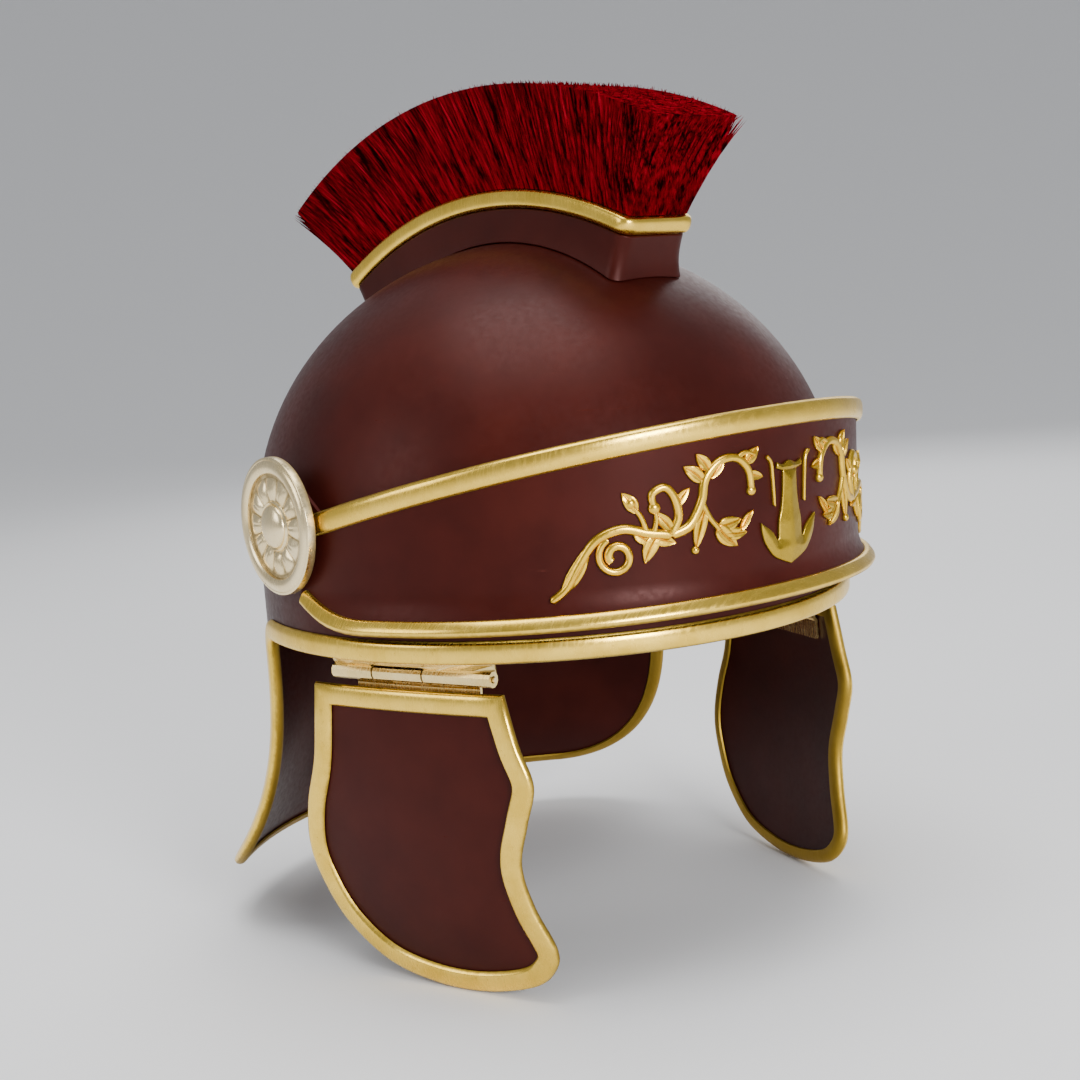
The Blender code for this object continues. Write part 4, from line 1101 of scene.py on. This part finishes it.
plume_material = bpy.data.materials.new("plume_hair")
plume_material.use_nodes = True
tree = plume_material.node_tree
place = add_node(tree, "ShaderNodeTexCoord").outputs["Object"]
apart = add_node(tree, "ShaderNodeSeparateXYZ", [(0, place)])
from_y = maths(tree, "SUBTRACT", apart.outputs[1], CREST_Y)
from_z = maths(tree, "SUBTRACT", apart.outputs[2], CREST_Z)
fan = maths(tree, "ARCTAN2", from_y, from_z)
from_axis = add_node(tree, "ShaderNodeCombineXYZ", [(0, from_y), (1, from_z)]).outputs[0]
length = add_node(tree, "ShaderNodeVectorMath", [(0, from_axis)], operation="LENGTH")
radius = length.outputs["Value"]
lean = maths(tree, "MULTIPLY_ADD", radius, -1.5, fan)
fanned = enumerate((lean, apart.outputs[0], radius))
streak_place = add_node(tree, "ShaderNodeCombineXYZ", fanned).outputs[0]
strands = noise(tree, stretched(tree, streak_place, (260, 900, 20)), 1.0, 3.0, 0.65)
locks = noise(tree, stretched(tree, streak_place, (110, 240, 9)), 1.0, 2.0, 0.5)
both = maths(tree, "MULTIPLY", locks, 0.55)
both = maths(tree, "MULTIPLY_ADD", strands, 0.45, both)
# painted shade: near-black where the streaks' height sinks, between the locks
red = blend_colour(tree, remap(tree, both, 0.40, 0.56, 0, 1), HAIR_PAINTED_SHADE, HAIR_RED)
# painted highlight: a lighter red where the streaks' height rises, on the locks' ridges
lit = blend_colour(tree, remap(tree, both, 0.56, 0.68, 0, 0.7), red, HAIR_PAINTED_HIGHLIGHT)
rough = remap(tree, strands, 0.3, 0.7, 0.8, 0.55)
ridges = [("Height", both), ("Strength", 0.5), ("Distance", 0.6 * MM)]
bump = add_node(tree, "ShaderNodeBump", ridges).outputs[0]
hair = [("Base Color", lit), ("Roughness", rough), ("Normal", bump), ("Specular IOR Level", 0.0)]
fill(tree.nodes["Principled BSDF"], hair)


def plume_place(across, along, up):
    """A place in the plume: across and along its root, up from the band to the cut."""
    along += HAIR_LEAN * (up - 0.5) * (1 - (2 * along - 1) ** 8)
    along, column = with_round_corners(along, 0.5 + 0.5 * across)
    across = 2 * column - 1
    half = PLUME_LOW_HALF + (PLUME_TOP_HALF - PLUME_LOW_HALF) * up**0.9
    fan_out = up**1.2
    start = CREST_FRONT_DEG - FAN_FRONT_DEG * fan_out
    end = CREST_REAR_DEG + FAN_REAR_DEG * fan_out
    radius_here = BAND_TOP + (PLUME_TOP - BAND_TOP) * up
    return crest_point(half * across, radius_here, start + (end - start) * along)


def core_place(row, column, level):
    """The plume's inner mass, a lock's depth inside the hair."""
    across = 0.93 * (2 * column - 1)
    return plume_place(across, 0.012 + 0.976 * row, 0.002 + 0.955 * level)


def lock_of_hair(bm, rng, across, along, low, high, wide):
    """One pointed lock, a flattened three-sided blade that follows the fan."""
    sway = rng.uniform(-0.012, 0.012)
    drift = rng.uniform(-0.03, 0.03)
    centres = []
    for n in range(LOCK_LEVELS + 1):
        t = n / LOCK_LEVELS
        up = low + (high - low) * t
        centres.append(plume_place(across + drift * t * t, along + sway * t * t, up))
    rings = []
    for n, centre in enumerate(centres[:-1]):
        t = n / LOCK_LEVELS
        half = 0.5 * wide * (1 - 0.75 * t**2.2)
        spin = 0.6 * t + rng.uniform(0, 0.4)
        ring = []
        for k in range(3):
            a = spin + 2 * math.pi * k / 3
            ring.append(bm.verts.new(centre + half * Vector((math.cos(a), math.sin(a), 0.0))))
        rings.append(ring)
    tip = bm.verts.new(centres[-1])
    skin(bm, rings)
    point_off(bm, rings[-1], tip)
    bm.faces.new(reversed(rings[0]))


core = block_mesh("plume_core", *CORE_CELLS, core_place)
piece("plume_backing", core, "helmet", plume_material, "plume", 60.0)
rng = random.Random(7)
bm = bmesh.new()
for i in range(LOCKS_ALONG):
    for side in (-1, 1):
        for layer in (0.0, 0.035):
            along = (i + rng.uniform(0.1, 0.9)) / LOCKS_ALONG
            top = rng.uniform(0.955, 0.995)
            wide = rng.uniform(1.3, 2.1) * MM
            lock_of_hair(bm, rng, side * (0.955 - layer), along, 0.0, top, wide)
for end in (0.006, 0.994):
    for i in range(END_LOCKS):
        across = -0.95 + 1.9 * (i + rng.uniform(0.1, 0.9)) / END_LOCKS
        top = rng.uniform(0.95, 0.995)
        lock_of_hair(bm, rng, across, end, 0.0, top, rng.uniform(1.3, 2.0) * MM)
for i in range(TOP_ROWS):
    for j in range(TOP_COLUMNS):
        along = 0.01 + 0.98 * (i + rng.random()) / TOP_ROWS
        across = -0.94 + 1.88 * (j + rng.random()) / TOP_COLUMNS
        top = rng.uniform(0.955, 0.995)
        lock_of_hair(bm, rng, across, along, 0.72, top, rng.uniform(1.5, 2.4) * MM)
piece("plume_locks", as_mesh("plume_locks", bm), "helmet", plume_material, "plume", 60.0)


# Cheek pieces: lacquered iron plates with a wavy front edge, slightly bulged and drawn in
# towards the jaw. A gilt edging is pressed on all round each.

HINGE_TURN = math.radians(16.0)
CHEEK_OUT = 109.2 * MM
CHEEK_BULGE = 2.2 * MM
CHEEK_MID = 2.2 * MM
CHEEK_HALF = 43.0 * MM
CHEEK_STEP = 4 * MM
CHEEK_TOP_STEPS = 30
CORNER_CLEAR = 11 * MM
CHEEK_EDGE = [
    # the wavy front, the foot, then the back, as (forwards, up) in millimetres
    *((45.5, -11.6), (50.3, -30.0), (55.2, -45.0), (51.2, -60.0), (46.8, -76.0), (49.6, -92.0)),
    *((56.0, -109.0), (53.0, -118.5), (43.0, -125.6), (22.0, -130.0), (0.0, -129.5)),
    *((-22.0, -123.5), (-40.0, -109.0), (-50.0, -91.5), (-53.3, -77.0), (-50.8, -60.0)),
    *((-44.2, -40.0), (-41.2, -11.6)),
]
TRIM_SECTION = channel(8.6 * MM, 2.4 * MM, 3.2 * MM, SHEET)
hinge_along = Vector((math.sin(HINGE_TURN), -math.cos(HINGE_TURN), 0.0))
hinge_outward = Vector((-math.cos(HINGE_TURN), -math.sin(HINGE_TURN), 0.0))


def cheek_point(along, out, z):
    return hinge_along * along + hinge_outward * out + Vector((0.0, 0.0, z))


def cheek_surface(along, z):
    down = -z / (100.0 * MM)
    bulge = CHEEK_BULGE * (1 - ((along - CHEEK_MID) / CHEEK_HALF) ** 2)
    drawn_in = (10.0 * down - 13.0 * down**2) * MM
    return cheek_point(along, CHEEK_OUT + bulge + drawn_in, z)


def other_side(mesh, name):
    """The left-hand copy of a right-hand mesh."""
    copy = mesh.copy()
    copy.name = name
    copy.materials.clear()
    copy.transform(Matrix.Scale(-1.0, 4, (1, 0, 0)))
    copy.flip_normals()
    return copy


cheek_line = smooth_line([(a * MM, z * MM) for a, z in CHEEK_EDGE], 7)
rear_top, front_top = cheek_line[-1], cheek_line[0]
for i in range(1, CHEEK_TOP_STEPS):
    t = i / CHEEK_TOP_STEPS
    cheek_line.append((rear_top[0] + (front_top[0] - rear_top[0]) * t, rear_top[1]))


def clear_of_corners(line, corners, reach):
    """The line without the points that crowd its sharp corners, where a wide strip would fold."""
    kept = []
    for point in line:
        near = min(math.dist(point, corner) for corner in corners)
        if near < 1e-9 or near > reach:
            kept.append(point)
    return kept


roomy_line = clear_of_corners(cheek_line, (rear_top, front_top), CORNER_CLEAR)
cheek_edge = inset(roomy_line, EDGE_LIP)
cheek_columns = steps_between(-54 * MM, 57 * MM, CHEEK_STEP)
cheek_rows = steps_between(-130 * MM, -12 * MM, CHEEK_STEP)
plate_mesh = sheet_mesh("cheek_plate", cheek_edge, cheek_columns, cheek_rows, cheek_surface, SHEET)
trim_mesh = strip_mesh(
    "cheek_trim", cheek_edge, cheek_surface, TRIM_SECTION, closed=True, flip=True
)
cheek_lacquer = lacquer_material("cheek_lacquer", 0.6, 0.15)
cheek_gilt = gilt_material("cheek_gilt", 0.5, 0.7)
left_meshes = other_side(plate_mesh, "cheek_plate_l"), other_side(trim_mesh, "cheek_trim_l")
for word, (plate, trim) in (("left", left_meshes), ("right", (plate_mesh, trim_mesh))):
    body = f"cheek_{word}"
    piece(f"{body}_plate", plate, body, cheek_lacquer, f"cheek_plate_{word}")
    piece(f"{body}_trim", trim, body, cheek_gilt, f"cheek_edging_{word}", 50.0)


# Cheek hinges: brass leaves riveted inside the bowl and inside each cheek piece, their knuckles
# threaded on a pin. The solids carry the shape, and here they get their worn brass.

hinge_brass = gilt_material("hinge_brass", 0.35, 0.6, (1.0, 0.78, 0.36, 1), bump_depth=0.03)
pin_brass = gilt_material("pin_brass", 0.2, 0.5, (0.95, 0.78, 0.45, 1), bump_depth=0.03)
for word in ("right", "left"):
    for node in (f"hinge_leaf_{word}", f"cheek_leaf_{word}"):
        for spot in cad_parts[node].material_slots:
            spot.material = hinge_brass
    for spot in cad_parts[f"hinge_pin_{word}"].material_slots:
        spot.material = pin_brass
